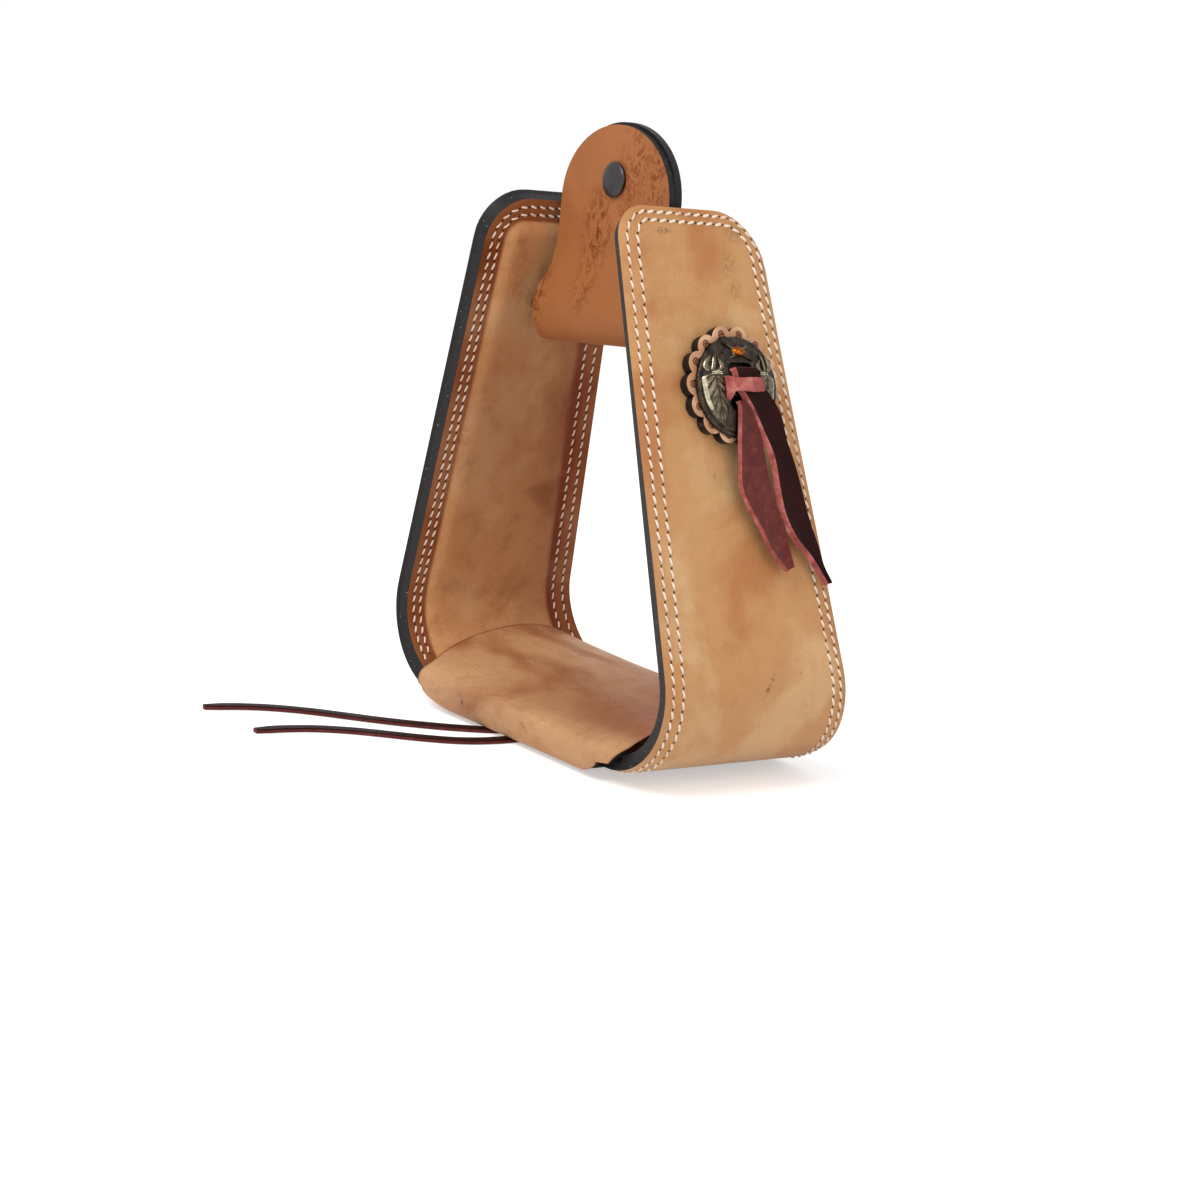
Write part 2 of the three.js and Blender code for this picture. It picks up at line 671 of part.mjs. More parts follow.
// Distance of the leg's face from the middle, at a height and an offset inward
function legFace(z, offset) {
  const [endX, endZ] = bowPoint(bowEnd, offset);
  return endX + (endZ - z) * Math.tan(LEG_LEAN);
}

function rollerHalfLength() {
  return legFace(BAR_HEIGHT + ROLLER_DIAMETER / 2, panelTop) - ROLLER_END_GAP;
}

function rollerGeometry() {
  const inner = BAR_DIAMETER / 2 + ROLLER_CLEARANCE;
  const outer = ROLLER_DIAMETER / 2;
  const half = rollerHalfLength();
  const profile = [
    new THREE.Vector2(inner, -half),
    new THREE.Vector2(outer, -half),
    new THREE.Vector2(outer, half),
    new THREE.Vector2(inner, half),
    new THREE.Vector2(inner, -half),
  ];
  const roller = new THREE.LatheGeometry(profile, BAR_SIDES);
  roller.rotateZ(Math.PI / 2);
  return roller.translate(0, 0, BAR_HEIGHT);
}

// Half width of the tab at a height over the bar's axis
function tabHalfWidth(height) {
  const body = legFace(BOW_HEIGHT, marginTop) - TAB_SIDE_GAP;
  const roundStart = TAB_TOP - TAB_ROUND;
  if (height > roundStart) {
    const share = Math.min((height - roundStart) / TAB_ROUND, 1);
    return body * Math.sqrt(1 - share * share);
  }
  const drop = (TAB_SHOULDER_TOP - height) / (TAB_SHOULDER_TOP - TAB_SHOULDER_BOTTOM);
  return lerp(body, rollerHalfLength() - TAB_LOOP_INSET, smooth(clamp(drop, 0, 1)));
}

// Middle line of the tab's front ply: down from the top, then round under the roller
function tabHalfPath() {
  const plyMiddle = (TAB_THICK + SEAT_GAP) / 2;
  const loopRadius = ROLLER_DIAMETER / 2 + ROLLER_CLEARANCE + TAB_THICK / 2;
  const close = new THREE.Vector2(-plyMiddle, TAB_CLOSE);
  const leave = close.angle() + Math.acos(loopRadius / close.length());
  const touch = new THREE.Vector2(Math.cos(leave), Math.sin(leave)).multiplyScalar(loopRadius);
  const path = [];
  const steps = 2 * ROUND_STEPS;
  for (let k = steps - 1; k >= 0; k--) {
    const angle = (Math.PI / 2) * (k / steps);
    path.push(new THREE.Vector2(-plyMiddle, TAB_TOP - TAB_ROUND + TAB_ROUND * Math.sin(angle)));
  }
  const above = new THREE.Vector2(-plyMiddle, TAB_CLOSE + TAB_CLOSE_FILLET);
  const toward = touch.clone().sub(close).normalize().multiplyScalar(TAB_CLOSE_FILLET);
  const fillet = new THREE.QuadraticBezierCurve(above, close, close.clone().add(toward));
  path.push(...fillet.getPoints(4));
  const below = path[path.length - 1].clone();
  for (const share of [1 / 4, 1 / 2, 3 / 4, 1]) path.push(below.clone().lerp(touch, share));
  for (let k = 1; k <= ROUND_STEPS; k++) {
    const angle = lerp(leave, Math.PI * 1.5, k / ROUND_STEPS);
    path.push(new THREE.Vector2(Math.cos(angle), Math.sin(angle)).multiplyScalar(loopRadius));
  }
  return path;
}

function tabGeometry() {
  const front = tabHalfPath();
  const back = front.slice(0, -1).reverse().map((p) => new THREE.Vector2(-p.x, p.y));
  const path = [...front, ...back];
  const loopRadius = ROLLER_DIAMETER / 2 + ROLLER_CLEARANCE + TAB_THICK / 2;
  const columns = 3;
  const point = (out) => (i, j) => {
    const before = path[Math.max(i - 1, 0)];
    const after = path[Math.min(i + 1, path.length - 1)];
    const run = after.clone().sub(before).normalize();
    const y = path[i].x + out * run.y;
    const z = path[i].y - out * run.x;
    const share = j / (columns - 1);
    const x = tabHalfWidth(path[i].y) * (2 * share - 1);
    const below = clamp(-path[i].y / loopRadius, 0, 1);
    return [x, y, BAR_HEIGHT + z - TAB_SAG * (1 - share) * smooth(below)];
  };
  return closedSheet(path.length, columns, point(TAB_THICK / 2), point(-TAB_THICK / 2));
}

function rivetHole() {
  const hole = new THREE.CylinderGeometry(1, 1, 4 * TAB_THICK, BAR_SIDES / 2);
  const radius = RIVET_POST_DIAMETER / 2 + SEAT_GAP;
  hole.scale(radius, 1, radius);
  return hole.translate(0, 0, BAR_HEIGHT + RIVET_HEIGHT);
}

// Both rivet halves are turned about Y, with their profile's height along the axis
function turnedAboutY(profile, segments) {
  const points = profile.map(([radius, height]) => new THREE.Vector2(radius, height));
  const turned = new THREE.LatheGeometry(points, segments);
  return turned.translate(0, 0, BAR_HEIGHT + RIVET_HEIGHT);
}

function makeTab() {
  const face = TAB_THICK + SEAT_GAP / 2;
  const postEnd = face + SEAT_GAP + RIVET_BASE_THICK;
  const cap = RIVET_CAP_DIAMETER / 2;
  const post = RIVET_POST_DIAMETER / 2;
  const seat = -face - SEAT_GAP;
  const capProfile = [
    [0, seat - RIVET_CAP_THICK],
    [cap / 2, seat - RIVET_CAP_THICK * (7 / 8)],
    [cap * (7 / 8), seat - RIVET_CAP_THICK / 2],
    [cap, seat],
    [post, seat],
    [post, postEnd],
    [0, postEnd],
  ];
  const base = RIVET_BASE_DIAMETER / 2;
  const bore = post + SEAT_GAP;
  const baseProfile = [
    [bore, face + SEAT_GAP],
    [base, face + SEAT_GAP],
    [base, face + SEAT_GAP + RIVET_BASE_THICK / 2],
    [base - RIVET_BASE_THICK / 2, postEnd],
    [bore, postEnd],
    [bore, face + SEAT_GAP],
  ];
  return [
    piece("hanger_tab", cut(tabGeometry(), [rivetHole()]), "tab"),
    piece("rivet_cap", turnedAboutY(capProfile, BAR_SIDES), "gunmetal"),
    piece("rivet_base", turnedAboutY(baseProfile, BAR_SIDES), "gunmetal"),
  ];
}

function rosetteShape() {
  const shape = new THREE.Shape();
  const ring = ROSETTE_DIAMETER / 2 - ROSETTE_SCALLOP_RADIUS;
  const pitch = (2 * Math.PI) / ROSETTE_SCALLOPS;
  const half = ring * Math.sin(pitch / 2);
  const meet = Math.acos(Math.min(half / ROSETTE_SCALLOP_RADIUS, 1));
  const open = (Math.PI + pitch) / 2 - meet;
  for (let k = 0; k < ROSETTE_SCALLOPS; k++) {
    const angle = k * pitch;
    const [x, y] = [ring * Math.cos(angle), ring * Math.sin(angle)];
    shape.absarc(x, y, ROSETTE_SCALLOP_RADIUS, angle - open, angle + open);
  }
  return shape;
}

// Height of the concho's dome over its rim's seat, at a radius
function domeHeight(radius) {
  const share = clamp(radius / (CONCHO_DIAMETER / 2), 0, 1);
  return CONCHO_RIM + CONCHO_DOME * (1 - share * share);
}

// The dome as a shell between two heights over its outer face
function domeShell(low, high, reach) {
  const profile = [];
  for (let k = 0; k <= CORNER_STEPS; k++) {
    const radius = (reach * k) / CORNER_STEPS;
    profile.push(new THREE.Vector2(radius, domeHeight(radius) + high));
  }
  for (let k = CORNER_STEPS; k >= 0; k--) {
    const radius = (reach * k) / CORNER_STEPS;
    profile.push(new THREE.Vector2(radius, domeHeight(radius) + low));
  }
  const shell = new THREE.LatheGeometry(profile.reverse(), DISC_SIDES);
  return shell.rotateX(Math.PI / 2);
}

// A curled leaf with its tip down, one side fuller than the other
function featherShape(side) {
  const [w, l] = [FEATHER_WIDTH * side, FEATHER_LENGTH];
  const shape = new THREE.Shape();
  shape.moveTo(0, l / 2);
  shape.bezierCurveTo(w * 0.75, l * 0.3, w * 0.8, -l * 0.1, -w * 0.45, -l / 2);
  shape.bezierCurveTo(-w * 0.4, -l * 0.15, -w * 0.55, l * 0.2, 0, l / 2);
  return shape;
}

// A four-pointed star as shares of its half width and half height
const starShares = [
  [1, 0.9],
  [0, 0.55],
  [-1, 0.9],
  [-0.5, 0],
  [-1, -1],
  [0, -0.6],
  [1, -1],
  [0.5, 0],
];

function starShape() {
  const places = starShares.map(([x, y]) => {
    return new THREE.Vector2(x * STAR_HALF_WIDTH, y * STAR_HALF_HEIGHT);
  });
  return new THREE.Shape(places);
}

// The tie's crossing band: a strip beside the slots that turns up and over the long
// tail. It lies on the dome, and the tail passes under it.
function tieBandGeometry(seat) {
  const low = seat + domeHeight(0) + TIE_THICK + 2 * TIE_CLEARANCE;
  const high = low + TIE_THICK;
  const bar = new THREE.Shape();
  bar.moveTo(-BAND_REACH, seat);
  bar.lineTo(STRIP_WIDTH / 2 - BAND_REACH, seat);
  bar.lineTo(STRIP_WIDTH / 2 - BAND_REACH, low);
  bar.lineTo(BAND_REACH, low);
  bar.lineTo(BAND_REACH, low + TIE_THICK / 2);
  bar.lineTo(BAND_REACH - TIE_THICK, high);
  bar.absarc(TIE_THICK - BAND_REACH, high - TIE_THICK, TIE_THICK, Math.PI / 2, Math.PI);
  const over = plate(bar, -BAND_HEIGHT / 2, BAND_HEIGHT / 2, 3).rotateX(Math.PI / 2);
  const strip = plate(slotShape(STRIP_WIDTH, STRIP_HEIGHT), seat, seat + domeHeight(0) + TIE_THICK);
  strip.translate(-BAND_REACH, 0, 0);
  const dome = domeShell(-2 * CONCHO_DOME, TIE_CLEARANCE, CONCHO_DIAMETER / 2);
  dome.translate(0, 0, seat);
  return toGeometry(toSolid(over).add(toSolid(strip)).subtract(toSolid(dome)));
}

// The two tails as shares of their length: forward edge across and up, back edge
// across and up, then the height over the concho's seat
const longTailShares = [
  [-0.055, 0.085, 0.07, 0.085, 0.068],
  [-0.052, 0.058, 0.076, 0.058, 0.0745],
  [-0.04, 0.0, 0.1, -0.005, 0.0745],
  [-0.026, -0.024, 0.135, -0.044, 0.076],
  [0.026, -0.096, 0.192, -0.132, 0.073],
  [0.094, -0.21, 0.228, -0.248, 0.058],
  [0.158, -0.324, 0.28, -0.362, 0.042],
  [0.19, -0.458, 0.325, -0.478, 0.026],
  [0.222, -0.591, 0.368, -0.612, 0.012],
  [0.289, -0.706, 0.424, -0.746, 0],
  [0.386, -0.805, 0.458, -0.846, -0.008],
  [0.481, -0.934, 0.508, -0.929, -0.015],
];
const shortTailShares = [
  [-0.052, -0.082, -0.015, -0.082, 0.077],
  [-0.04, -0.128, 0.026, -0.122, 0.075],
  [-0.037, -0.26, 0.1, -0.256, 0.05],
  [-0.036, -0.389, 0.124, -0.367, 0.035],
  [-0.036, -0.517, 0.148, -0.497, 0.024],
  [0.003, -0.626, 0.188, -0.629, 0.018],
  [0.083, -0.757, 0.227, -0.737, 0.01],
  [0.149, -0.877, 0.267, -0.847, 0.004],
  [0.252, -0.99, 0.296, -0.969, 0],
];

// A flat tail, cupped a little across its width
function tailGeometry(shares, length, seat) {
  const forward = shares.map(([x, y, , , z]) => new THREE.Vector3(x, y, z));
  const behind = shares.map(([, , x, y, z]) => new THREE.Vector3(x, y, z));
  const [left, right] = [new THREE.CatmullRomCurve3(forward), new THREE.CatmullRomCurve3(behind)];
  const rows = 3 * ROUND_STEPS;
  const columns = 5;
  const point = (side) => (i, j) => {
    const [a, b] = [left, right].map((curve) => curve.getPoint(i / (rows - 1)));
    const across = j / (columns - 1);
    const place = a.lerp(b, across).multiplyScalar(length);
    const cupped = (TIE_THICK / 2) * Math.pow(2 * across - 1, 2) * smooth(i / (rows - 1));
    return [place.x, place.y, seat + place.z + (side * TIE_THICK) / 2 + cupped];
  };
  return closedSheet(rows, columns, point(1), point(-1));
}

function makeConcho() {
  const seat = SEAT_GAP + ROSETTE_THICK + SEAT_GAP;
  const slots = tieSlots(0, seat + CONCHO_RIM + 2 * CONCHO_DOME);
  const rosette = plate(rosetteShape(), SEAT_GAP, SEAT_GAP + ROSETTE_THICK);
  const radius = CONCHO_DIAMETER / 2;
  const disc = domeShell(-CONCHO_SHEET, 0, radius).translate(0, 0, seat);
  const overlay = domeShell(SEAT_GAP, SEAT_GAP + RELIEF_THICK, radius).translate(0, 0, seat);
  const relief = (shape, x, y) => {
    const block = plate(shape, seat, seat + 2 * (CONCHO_DOME + CONCHO_RIM)).translate(x, y, 0);
    return toGeometry(toSolid(block).intersect(toSolid(overlay)));
  };
  const profile = [new THREE.Vector2(0, 0)];
  for (let k = 0; k <= ROUND_STEPS; k++) {
    const angle = (Math.PI / 2) * (k / ROUND_STEPS);
    profile.push(new THREE.Vector2(Math.cos(angle), Math.sin(angle)).multiplyScalar(BEAD_RADIUS));
  }
  const bead = new THREE.LatheGeometry(profile, 2 * ROUND_STEPS).rotateX(Math.PI / 2);
  const beadSeat = seat + domeHeight(STAR_OFFSET - BEAD_RADIUS) + RELIEF_THICK + 2 * SEAT_GAP;
  bead.translate(0, STAR_OFFSET, beadSeat);
  const group = new THREE.Group();
  const front = relief(featherShape(-1), -FEATHER_OFFSET, -FEATHER_DROP);
  const back = relief(featherShape(1), FEATHER_OFFSET, -FEATHER_DROP);
  group.add(
    piece("concho_rosette", cut(rosette, slots), "liner"),
    piece("concho_disc", cut(disc, slots), "blackened"),
    piece("concho_feather_front", front, "silver"),
    piece("concho_feather_back", back, "silver"),
    piece("concho_star", relief(starShape(), 0, STAR_OFFSET), "silver"),
    piece("concho_bead", bead, "copper"),
    piece("concho_tie_band", tieBandGeometry(seat), "flesh"),
    piece("concho_tail_long", tailGeometry(longTailShares, LONG_TAIL_LENGTH, seat), "lace"),
    piece("concho_tail_short", tailGeometry(shortTailShares, SHORT_TAIL_LENGTH, seat), "flesh"),
  );
  group.applyMatrix4(conchoMatrix());
  return group;
}

// The two free lace tails, in the finished part's own frame: they come from the
// knot, pass under the tread and lie on the floor in front of it
const frontTailRoute = [
  [-13.2, -4.5],
  [-13.3, -12],
  [-14.5, -24],
  [-18, -38],
  [-25, -52],
  [-34, -65],
  [-44, -77],
  [-55, -88],
  [-66, -99],
  [-75, -111],
  [-81, -124],
  [-84, -138],
];
const sideTailRoute = [
  [-7.3, -4.5],
  [-7.2, -12],
  [-6.2, -24],
  [-5, -37],
  [-5, -50],
  [-8, -63],
  [-15, -75],
  [-24, -86],
  [-33, -97],
  [-40, -109],
  [-44, -122],
  [-45, -136],
];

function laceTailGeometry(route) {
  const middle = LACE_THICK / 2;
  const curve = new THREE.CatmullRomCurve3(route.map(([x, y]) => new THREE.Vector3(x, y, middle)));
  const [t, w] = [LACE_THICK / 2, LACE_WIDTH / 2];
  const soft = LACE_THICK / 4;
  const shape = new THREE.Shape();
  const corners = [[t, w - soft], [t - soft, w], [soft - t, w], [-t, w - soft]];
  const outline = [...corners, ...corners.map(([a, b]) => [-a, -b])];
  outline.forEach(([a, b], k) => (k === 0 ? shape.moveTo(a, b) : shape.lineTo(a, b)));
  const steps = 4 * ROUND_STEPS;
  return new THREE.ExtrudeGeometry(shape, { steps, bevelEnabled: false, extrudePath: curve });
}

const stirrup = new THREE.Group();
stirrup.add(...makeBow(), ...makeTread());
stirrup.add(piece("crossbar", crossbarGeometry(), "steel"));
stirrup.add(piece("roller_sleeve", rollerGeometry(), "nylon"));
stirrup.add(...makeTab(), makeConcho());
stirrup.position.set(0, -partMiddle, floorDrop);

const part = new THREE.Group();
part.add(stirrup);
part.add(piece("lace_tail_front", laceTailGeometry(frontTailRoute), "lace"));
part.add(piece("lace_tail_side", laceTailGeometry(sideTailRoute), "lace"));

export default part;
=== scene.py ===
"""Slanted stirrup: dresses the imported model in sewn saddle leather, lace and concho metal."""

import math

import bmesh
import bpy
import numpy as np
from mathutils import Matrix, Vector


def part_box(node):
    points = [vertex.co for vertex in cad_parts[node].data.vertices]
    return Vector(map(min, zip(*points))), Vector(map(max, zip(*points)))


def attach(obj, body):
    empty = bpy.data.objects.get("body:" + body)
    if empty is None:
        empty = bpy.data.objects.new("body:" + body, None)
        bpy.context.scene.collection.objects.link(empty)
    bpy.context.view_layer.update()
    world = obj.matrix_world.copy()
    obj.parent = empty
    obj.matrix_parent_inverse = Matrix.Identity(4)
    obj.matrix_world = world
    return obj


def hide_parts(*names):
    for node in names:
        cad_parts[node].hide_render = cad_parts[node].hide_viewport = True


bl_info = {
    "name": "Slanted Stirrup",
    "version": (1, 0, 0),
    "blender": (4, 5, 0),
    "location": "View3D > Sidebar > Stirrup",
    "description": "Builds a leather covered slanted stirrup over its packed model",
    "category": "Object",
}

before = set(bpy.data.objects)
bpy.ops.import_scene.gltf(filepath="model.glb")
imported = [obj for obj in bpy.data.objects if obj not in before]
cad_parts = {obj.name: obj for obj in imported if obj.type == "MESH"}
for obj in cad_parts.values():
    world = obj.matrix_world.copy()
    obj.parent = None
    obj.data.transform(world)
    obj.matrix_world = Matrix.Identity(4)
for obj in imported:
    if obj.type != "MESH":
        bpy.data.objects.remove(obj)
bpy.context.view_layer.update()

# The bow's own sizes in millimetres. The bar's axis is the datum in Y and the tread's
# outer face is the datum in Z; to_row() then sets a point in the finished part's frame.
SET_Y, SET_Z = -17.3, 5.2
BOW_HEIGHT = 211
HALF_FLAT = 60
BEND_RADIUS = 34
LEAN = math.radians(16.1)
BEND_ANGLE = math.pi / 2 + LEAN
BEND_LENGTH = BEND_RADIUS * BEND_ANGLE
BEND_TOP = BEND_RADIUS * (1 + math.sin(LEAN))
BOW_END = HALF_FLAT + BEND_LENGTH + (BOW_HEIGHT - BEND_TOP) / math.cos(LEAN)
NECK_FRONT, NECK_BACK = -34.5, 32.5
TREAD_FRONT, TREAD_BACK = -27, 66
TREAD_MIDDLE = (TREAD_FRONT + TREAD_BACK) / 2
INNER_CORNER, OUTER_CORNER, BACK_CORNER = 20, 13, 21
COVER_THICK, LINER_THICK = 3, 3
MARGIN_TOP, LEG_MARGIN_TOP, PANEL_TOP = 6.1, 7.1, 9.4
SEAM_MARGIN, PANEL_SLOPE, PANEL_CORNER = 10.6, 6, 9
BACK_WIDER = 3.6  # the inner leather's sewn border is that much wider at the back
EDGE_BEVEL = 1.9  # the sewn edge is cut on a slant, set back on the inner face
WRAP_OUT, WRAP_THICK, WRAP_UNDER = 3.1, 2.8, 46
NOSE_RADIUS = 4
CROWN_LIP, CROWN_RISE, CROWN_END_RISE = 3.4, 11, 4.3  # of the tread, the last at its ends
SEAM_HALF = 0.6  # half the gap between the wrap's two edges under the tread
LACE_PITCH, LACE_SHIFT, LACE_HALF_WIDTH, LACE_HALF_THICK = 17.5, -1.5, 2.75, 0.9
BAR_HEIGHT, ROLLER_RADIUS, ROLLER_BORE = 166, 6.25, 4.3
RIVET_HEIGHT, RIVET_RADIUS = 52, 6.9  # its height is over the bar's axis
TAB_TOP, TAB_ROUND, TAB_CLOSE, TAB_FILLET = 73, 29, 24, 5
TAB_THICK, TAB_GAP, TAB_BORE = 3, 0.3, 6.55
TAB_BACK_RISE = 1.2  # the back ply stands a little over the front one
TAB_BODY, TAB_LOOP, TAB_SAG = 34.46, 38.9, 4.6
CONCHO_HEIGHT, CONCHO_SETBACK = 145.5, 10.2
CONCHO_SEAT = 5.0  # the rosette's top over the leg's face
CONCHO_RADIUS = 19.05
STAR_HEIGHT = 12.9  # the star's middle over the disc's
SCALLOPS, ROSETTE_RADIUS, LOBE_RADIUS = 14, 22.3, 4.6
STAMP_RADIUS = 19.3  # of the circle on which the stamped rings lie
SLIP_X, SLIP_Y = -0.3, 1.2  # the rosette has slipped a little up the leg behind its disc


def to_row(x, y, z):
    return (x / 1000, (y + SET_Y) / 1000, (z + SET_Z) / 1000)


def linear(hex_colour):
    """sRGB hex to the linear values that shaders and colour properties take."""
    parts = [int(hex_colour[i : i + 2], 16) / 255 for i in (1, 3, 5)]
    return tuple(p / 12.92 if p <= 0.04045 else ((p + 0.055) / 1.055) ** 2.4 for p in parts)


def scaled(tint, share):
    """A darker or a brighter tint, held at white."""
    return tuple(min(c * share, 1) for c in tint)


def smooth(t):
    t = min(max(t, 0), 1)
    return t * t * (3 - 2 * t)


def lerp(a, b, t):
    return a + (b - a) * t


def hill(t):
    return math.exp(-(t * t))


def curve_at(points, t):
    """Point at share t of a smooth line through the given points."""
    last = len(points) - 1
    at = min(max(t, 0), 1) * last
    i = min(int(at), last - 1)
    u = at - i
    p1, p2 = np.array(points[i], float), np.array(points[i + 1], float)
    p0 = np.array(points[i - 1], float) if i > 0 else 2 * p1 - p2
    p3 = np.array(points[i + 2], float) if i + 2 <= last else 2 * p2 - p1
    return 0.5 * (2 * p1 + (p2 - p0) * u + (2 * p0 - 5 * p1 + 4 * p2 - p3) * u**2
                  + (3 * p1 - p0 - 3 * p2 + p3) * u**3)


def circle(count):
    """Cosines and sines of evenly spaced directions."""
    turns = [2 * math.pi * k / count for k in range(count)]
    return [(math.cos(a), math.sin(a)) for a in turns]


# ---------------------------------------------------------------- sizes and colours


def size(name, description, millimetres):
    return bpy.props.FloatProperty(
        name=name, description=description, default=millimetres / 1000, min=0,
        precision=5, unit="LENGTH")


def row_pair(name, description, metres):
    return bpy.props.FloatVectorProperty(
        name=name, description=description, size=2, default=metres, precision=5,
        unit="LENGTH")


def colour(name, description, hex_colour):
    return bpy.props.FloatVectorProperty(
        name=name, description=description, default=linear(hex_colour), min=0, max=1,
        size=3, subtype="COLOR")


class StirrupSizes(bpy.types.PropertyGroup):
    """Sizes of the finish that a saddler would choose"""

    stitch_pitch: size("Stitch pitch", "From one awl hole to the next", 4.4)
    stitch_length: size("Stitch length", "Visible length of one stitch", 3.35)
    thread_width: size("Thread width", "Width of the thread where it lies on the leather", 1.05)
    awl_hole: size("Awl hole", "Width of the hole between two stitches", 1.0)
    stitch_slant: bpy.props.FloatProperty(
        name="Stitch slant", description="Turn of each stitch out of its row",
        default=math.radians(17), subtype="ANGLE")
    cover_rows: row_pair("Cover rows", "The two rows from the cover's edges", (0.0033, 0.0075))
    liner_rows: row_pair("Liner rows", "The two rows from the liner's edges", (0.0053, 0.0085))
    edge_fall: size("Edge fall", "How far the cover's face falls to its sewn edge", 1.3)
    edge_pinch: size("Edge pinch", "How much the edges thin at the top of the +X leg", 0.75)
    edge_fall_reach: size("Edge fall reach", "Width of the strip that falls", 11)
    edge_round: size("Edge rounding", "Radius of the slicked leather edges", 0.6)


class StirrupColours(bpy.types.PropertyGroup):
    """Colours of the leathers, thread and felt"""

    cover: colour("Cover", "Golden tan of the outer leather", "#C4915E")
    cover_pale: colour("Cover, pale", "Paler clouds in the outer leather", "#D1A878")
    cover_shade: colour("Cover, shade", "Browner clouds in the outer leather", "#B47746")
    liner: colour("Liner", "Inner leather over the padded panel", "#C78E5E")
    liner_pale: colour("Liner, pale", "Paler clouds in the inner leather", "#CF9C6E")
    liner_shade: colour("Liner, shade", "Darker clouds in the inner leather", "#A06A44")
    wrap: colour("Wrap", "Leather round the tread", "#CA9A6E")
    wrap_pale: colour("Wrap, pale", "Paler streaks of the tread's leather", "#D8AB7A")
    wrap_shade: colour("Wrap, shade", "Worn and darkened tread leather", "#A26A43")
    tab: colour("Tab", "Orange brown of the hanging tab", "#9C5F35")
    tab_pale: colour("Tab, pale", "Paler clouds in the tab", "#A5653A")
    tab_scar: colour("Tab, scars", "Healed scars and veins in the tab", "#74370F")
    tie: colour("Tie, flesh side", "Rose flesh side of the concho's tie", "#A8524C")
    edge: colour("Edge dye", "Black dye on the cut edges", "#171415")
    flesh: colour("Flesh side", "Unfinished back of the tan leathers", "#B08A64")
    latigo: colour("Latigo", "Burgundy face of the lace", "#260C0B")
    latigo_flesh: colour("Latigo, flesh side", "Pink suede back of the lace", "#5C1710")
    latigo_pale: colour("Latigo, pale", "Paler fibres of the suede back", "#6E2D25")
    thread: colour("Thread", "Waxed white thread", "#EBDAC8")
    rosette: colour("Rosette", "Tan top of the concho's leather rosette", "#BE8C6A")
    felt: colour("Felt", "Padding of the tread", "#8D8577")


def tint_of(name):
    return tuple(getattr(bpy.context.scene.stirrup_colours, name))


def tints_of(name):
    """A leather's own colour and those of its paler and darker clouds."""
    return [tint_of(name + ending) for ending in ("", "_pale", "_shade")]


# ---------------------------------------------------------------- meshes


def new_piece(name, points, faces, materials, marks=None, sharp=38, outward=True):
    """A mesh in the row frame with one material number for each face."""
    mesh = bpy.data.meshes.new(name)
    mesh.from_pydata([tuple(p) for p in points], [], faces)
    for material in materials:
        mesh.materials.append(material)
    if marks is not None:
        mesh.polygons.foreach_set("material_index", marks)
    if outward:
        shell = bmesh.new()
        shell.from_mesh(mesh)
        bmesh.ops.recalc_face_normals(shell, faces=shell.faces)
        shell.to_mesh(mesh)
        shell.free()
    mesh.shade_smooth()
    mesh.set_sharp_from_angle(angle=math.radians(sharp))
    piece = bpy.data.objects.new(name, mesh)
    bpy.context.scene.collection.objects.link(piece)
    return piece


def settle(piece, body, node_name=None):
    """Rides a piece on its body, in place of a node."""
    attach(piece, body)
    if node_name:
        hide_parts(node_name)
    return piece


def net(count, columns, place):
    """Grid of place(share of the rows, share of the columns)."""
    return np.array([[place(i / (count - 1), j / (columns - 1)) for j in range(columns)]
                     for i in range(count)])


def two_nets(count, columns, place):
    """Grids of place(t, v, side) for a sheet's face, side 1, and its back, side -1."""
    return [net(count, columns, lambda t, v: place(t, v, side)) for side in (1, -1)]


def sheet_faces(count, columns):
    """Faces of a closed sheet between two grids, and 0 upper, 1 lower or 2 rim for each."""
    faces, kinds = [], []
    at = lambda i, j, side: side * count * columns + i * columns + j
    for i in range(count - 1):
        for j in range(columns - 1):
            faces.append((at(i, j, 0), at(i + 1, j, 0), at(i + 1, j + 1, 0), at(i, j + 1, 0)))
            faces.append((at(i, j, 1), at(i, j + 1, 1), at(i + 1, j + 1, 1), at(i + 1, j, 1)))
            kinds += [0, 1]
    border = [(i, j, i + 1, j) for i in range(count - 1) for j in (0, columns - 1)]
    border += [(i, j, i, j + 1) for j in range(columns - 1) for i in (0, count - 1)]
    for i, j, m, n in border:
        faces.append((at(i, j, 0), at(i, j, 1), at(m, n, 1), at(m, n, 0)))
        kinds.append(2)
    return faces, kinds


def sheet_piece(name, upper, lower, materials, rounding, segments=2, sharp=38, burnish=None):
    """A leather sheet between two grids of points (rows, columns, 3), already in metres.

    The materials are its face's, its back's and its rim's, the border of its face is
    slicked round, and burnish is a grid of shares of the rubbed colour, which is wear
    and, on the liner and the tread, also painted shade and light.
    """
    count, columns = upper.shape[:2]
    faces, kinds = sheet_faces(count, columns)
    points = np.concatenate([upper.reshape(-1, 3), lower.reshape(-1, 3)])
    marks = [min(kind, len(materials) - 1) for kind in kinds]
    piece = new_piece(name, points, faces, materials, marks, sharp)
    if burnish is not None:
        share = piece.data.attributes.new("burnish", "FLOAT", "POINT")
        share.data.foreach_set("value", np.tile(burnish.reshape(-1), 2))
    weight = piece.data.attributes.new("bevel_weight_edge", "FLOAT", "EDGE")
    for edge in piece.data.edges:
        if max(edge.vertices) < count * columns:
            (i, j), (m, n) = (divmod(v, columns) for v in edge.vertices)
            if (i == m and i in (0, count - 1)) or (j == n and j in (0, columns - 1)):
                weight.data[edge.index].value = 1
    bevel = piece.modifiers.new("slicked edge", "BEVEL")
    bevel.width, bevel.segments, bevel.limit_method = rounding, segments, "WEIGHT"
    return piece


